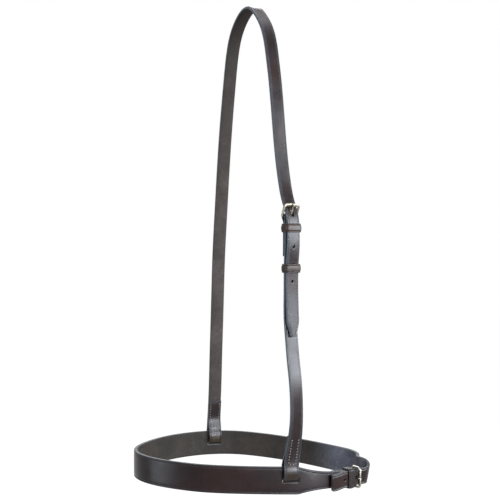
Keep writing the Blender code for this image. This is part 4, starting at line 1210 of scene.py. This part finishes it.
stitchPiece("nearFootStitches", footRows(cheek, nearFoot, cheekLength, -1))
stitchPiece("offFootStitches", footRows(head, offFoot, 0, 1))
stitchPiece("cheekFoldStitches", foldRows(cheek, "cheek", strapSet["thickness"]))
stitchPiece("chinFoldStitches", foldRows(chin, "chin", nosepieceSet["thickness"]))
print("stitches ready")


# Studio: camera at the photo's angle, soft lamps, a floor well below the hanging noseband

cameraSet = dict(place=(-0.4254, -0.8242, -0.2475), turn=-27.2 * degree, lens=64.8)
lampSets = dict(
    window=dict(angle=-62, rise=2, far=1.25, size=(0.6, 1.3), power=18, colour=(0.82, 0.9, 1.0)),
    right=dict(angle=72, rise=13, far=1.25, size=(0.7, 0.5), power=41, colour=(0.86, 0.93, 1.0)),
    low=dict(angle=35, rise=-15, far=1.25, size=(0.3, 0.26), power=5.5, colour=(0.86, 0.92, 1.0)),
    front=dict(angle=33, rise=10, far=1.25, size=(0.46, 0.2), power=34, colour=(0.86, 0.92, 1.0)),
    upper=dict(angle=28, rise=36, far=1.2, size=(0.35, 0.3), power=4, colour=(0.9, 0.94, 1.0)),
    back=dict(angle=188, rise=36, far=1.4, size=(1.3, 0.9), power=20, colour=(0.9, 0.94, 1.0)),
    top=dict(angle=0, rise=86, far=1.2, size=(1.0, 1.0), power=14, colour=(0.88, 0.94, 1.0)))
middlePoint = np.array([0.0, 0.0, -0.3])
floorSet = dict(size=6.0, level=-0.86, glow=1.23, glowShare=0.8)
worldStrength = 0.14


def makeCamera():
    data = bpy.data.cameras.new("camera")
    data.lens = cameraSet["lens"]
    data.sensor_width = 36
    data.clip_end = 50
    camera = placed("camera", data)
    camera.location = cameraSet["place"]
    camera.rotation_euler = (math.pi / 2, 0, cameraSet["turn"])
    bpy.context.scene.camera = camera


# Angles are counted from the camera's side of the object, to the right, seen from the object
def makeLamp(name, angle, rise, far, size, power, colour):
    data = bpy.data.lights.new(name, "AREA")
    data.shape = "RECTANGLE"
    data.size, data.size_y = size
    data.energy = power
    data.color = colour
    lamp = placed(name, data)
    turn = cameraSet["turn"]
    right = np.array([math.cos(turn), math.sin(turn), 0])
    back = np.array([math.sin(turn), -math.cos(turn), 0])
    level = math.cos(angle * degree) * back + math.sin(angle * degree) * right
    direction = math.cos(rise * degree) * level + math.sin(rise * degree) * up
    lamp.location = middlePoint + far * direction
    lamp.rotation_euler = Vector(-direction).to_track_quat("-Z", "Y").to_euler()


def makeFloor():
    f = floorSet
    n = dullMaterial("paleFloor", 40, 3, (0.49, 0.49, 0.49), (0.51, 0.51, 0.51), 0.8)
    n.showPlain(f["glowShare"], n.add("Emission", {"Color": (1, 1, 1), "Strength": f["glow"]}))
    corners = [(x * f["size"], y * f["size"], f["level"]) for x, y in ((-1, -1), (1, -1), (1, 1), (-1, 1))]
    mesh = bpy.data.meshes.new("floor")
    mesh.from_pydata(corners, [], [(0, 1, 2, 3)])
    mesh.materials.append(n.owner)
    floor = placed("floor", mesh)


def makeWorld():
    world = bpy.data.worlds.new("studio")
    bpy.context.scene.world = world
    n = Nodes(world, "Background", "World Output")
    n.fill(n.shader, {"Color": (0.93, 0.95, 1.0), "Strength": worldStrength})
    n.showPlain(1.0, n.add("Background", {"Color": (1, 1, 1), "Strength": 1.0}))


makeCamera()
for lampName, lampSet in lampSets.items():
    makeLamp(lampName, **lampSet)
makeFloor()
makeWorld()
bpy.context.scene.view_settings.view_transform = "Standard"
print("studio ready")
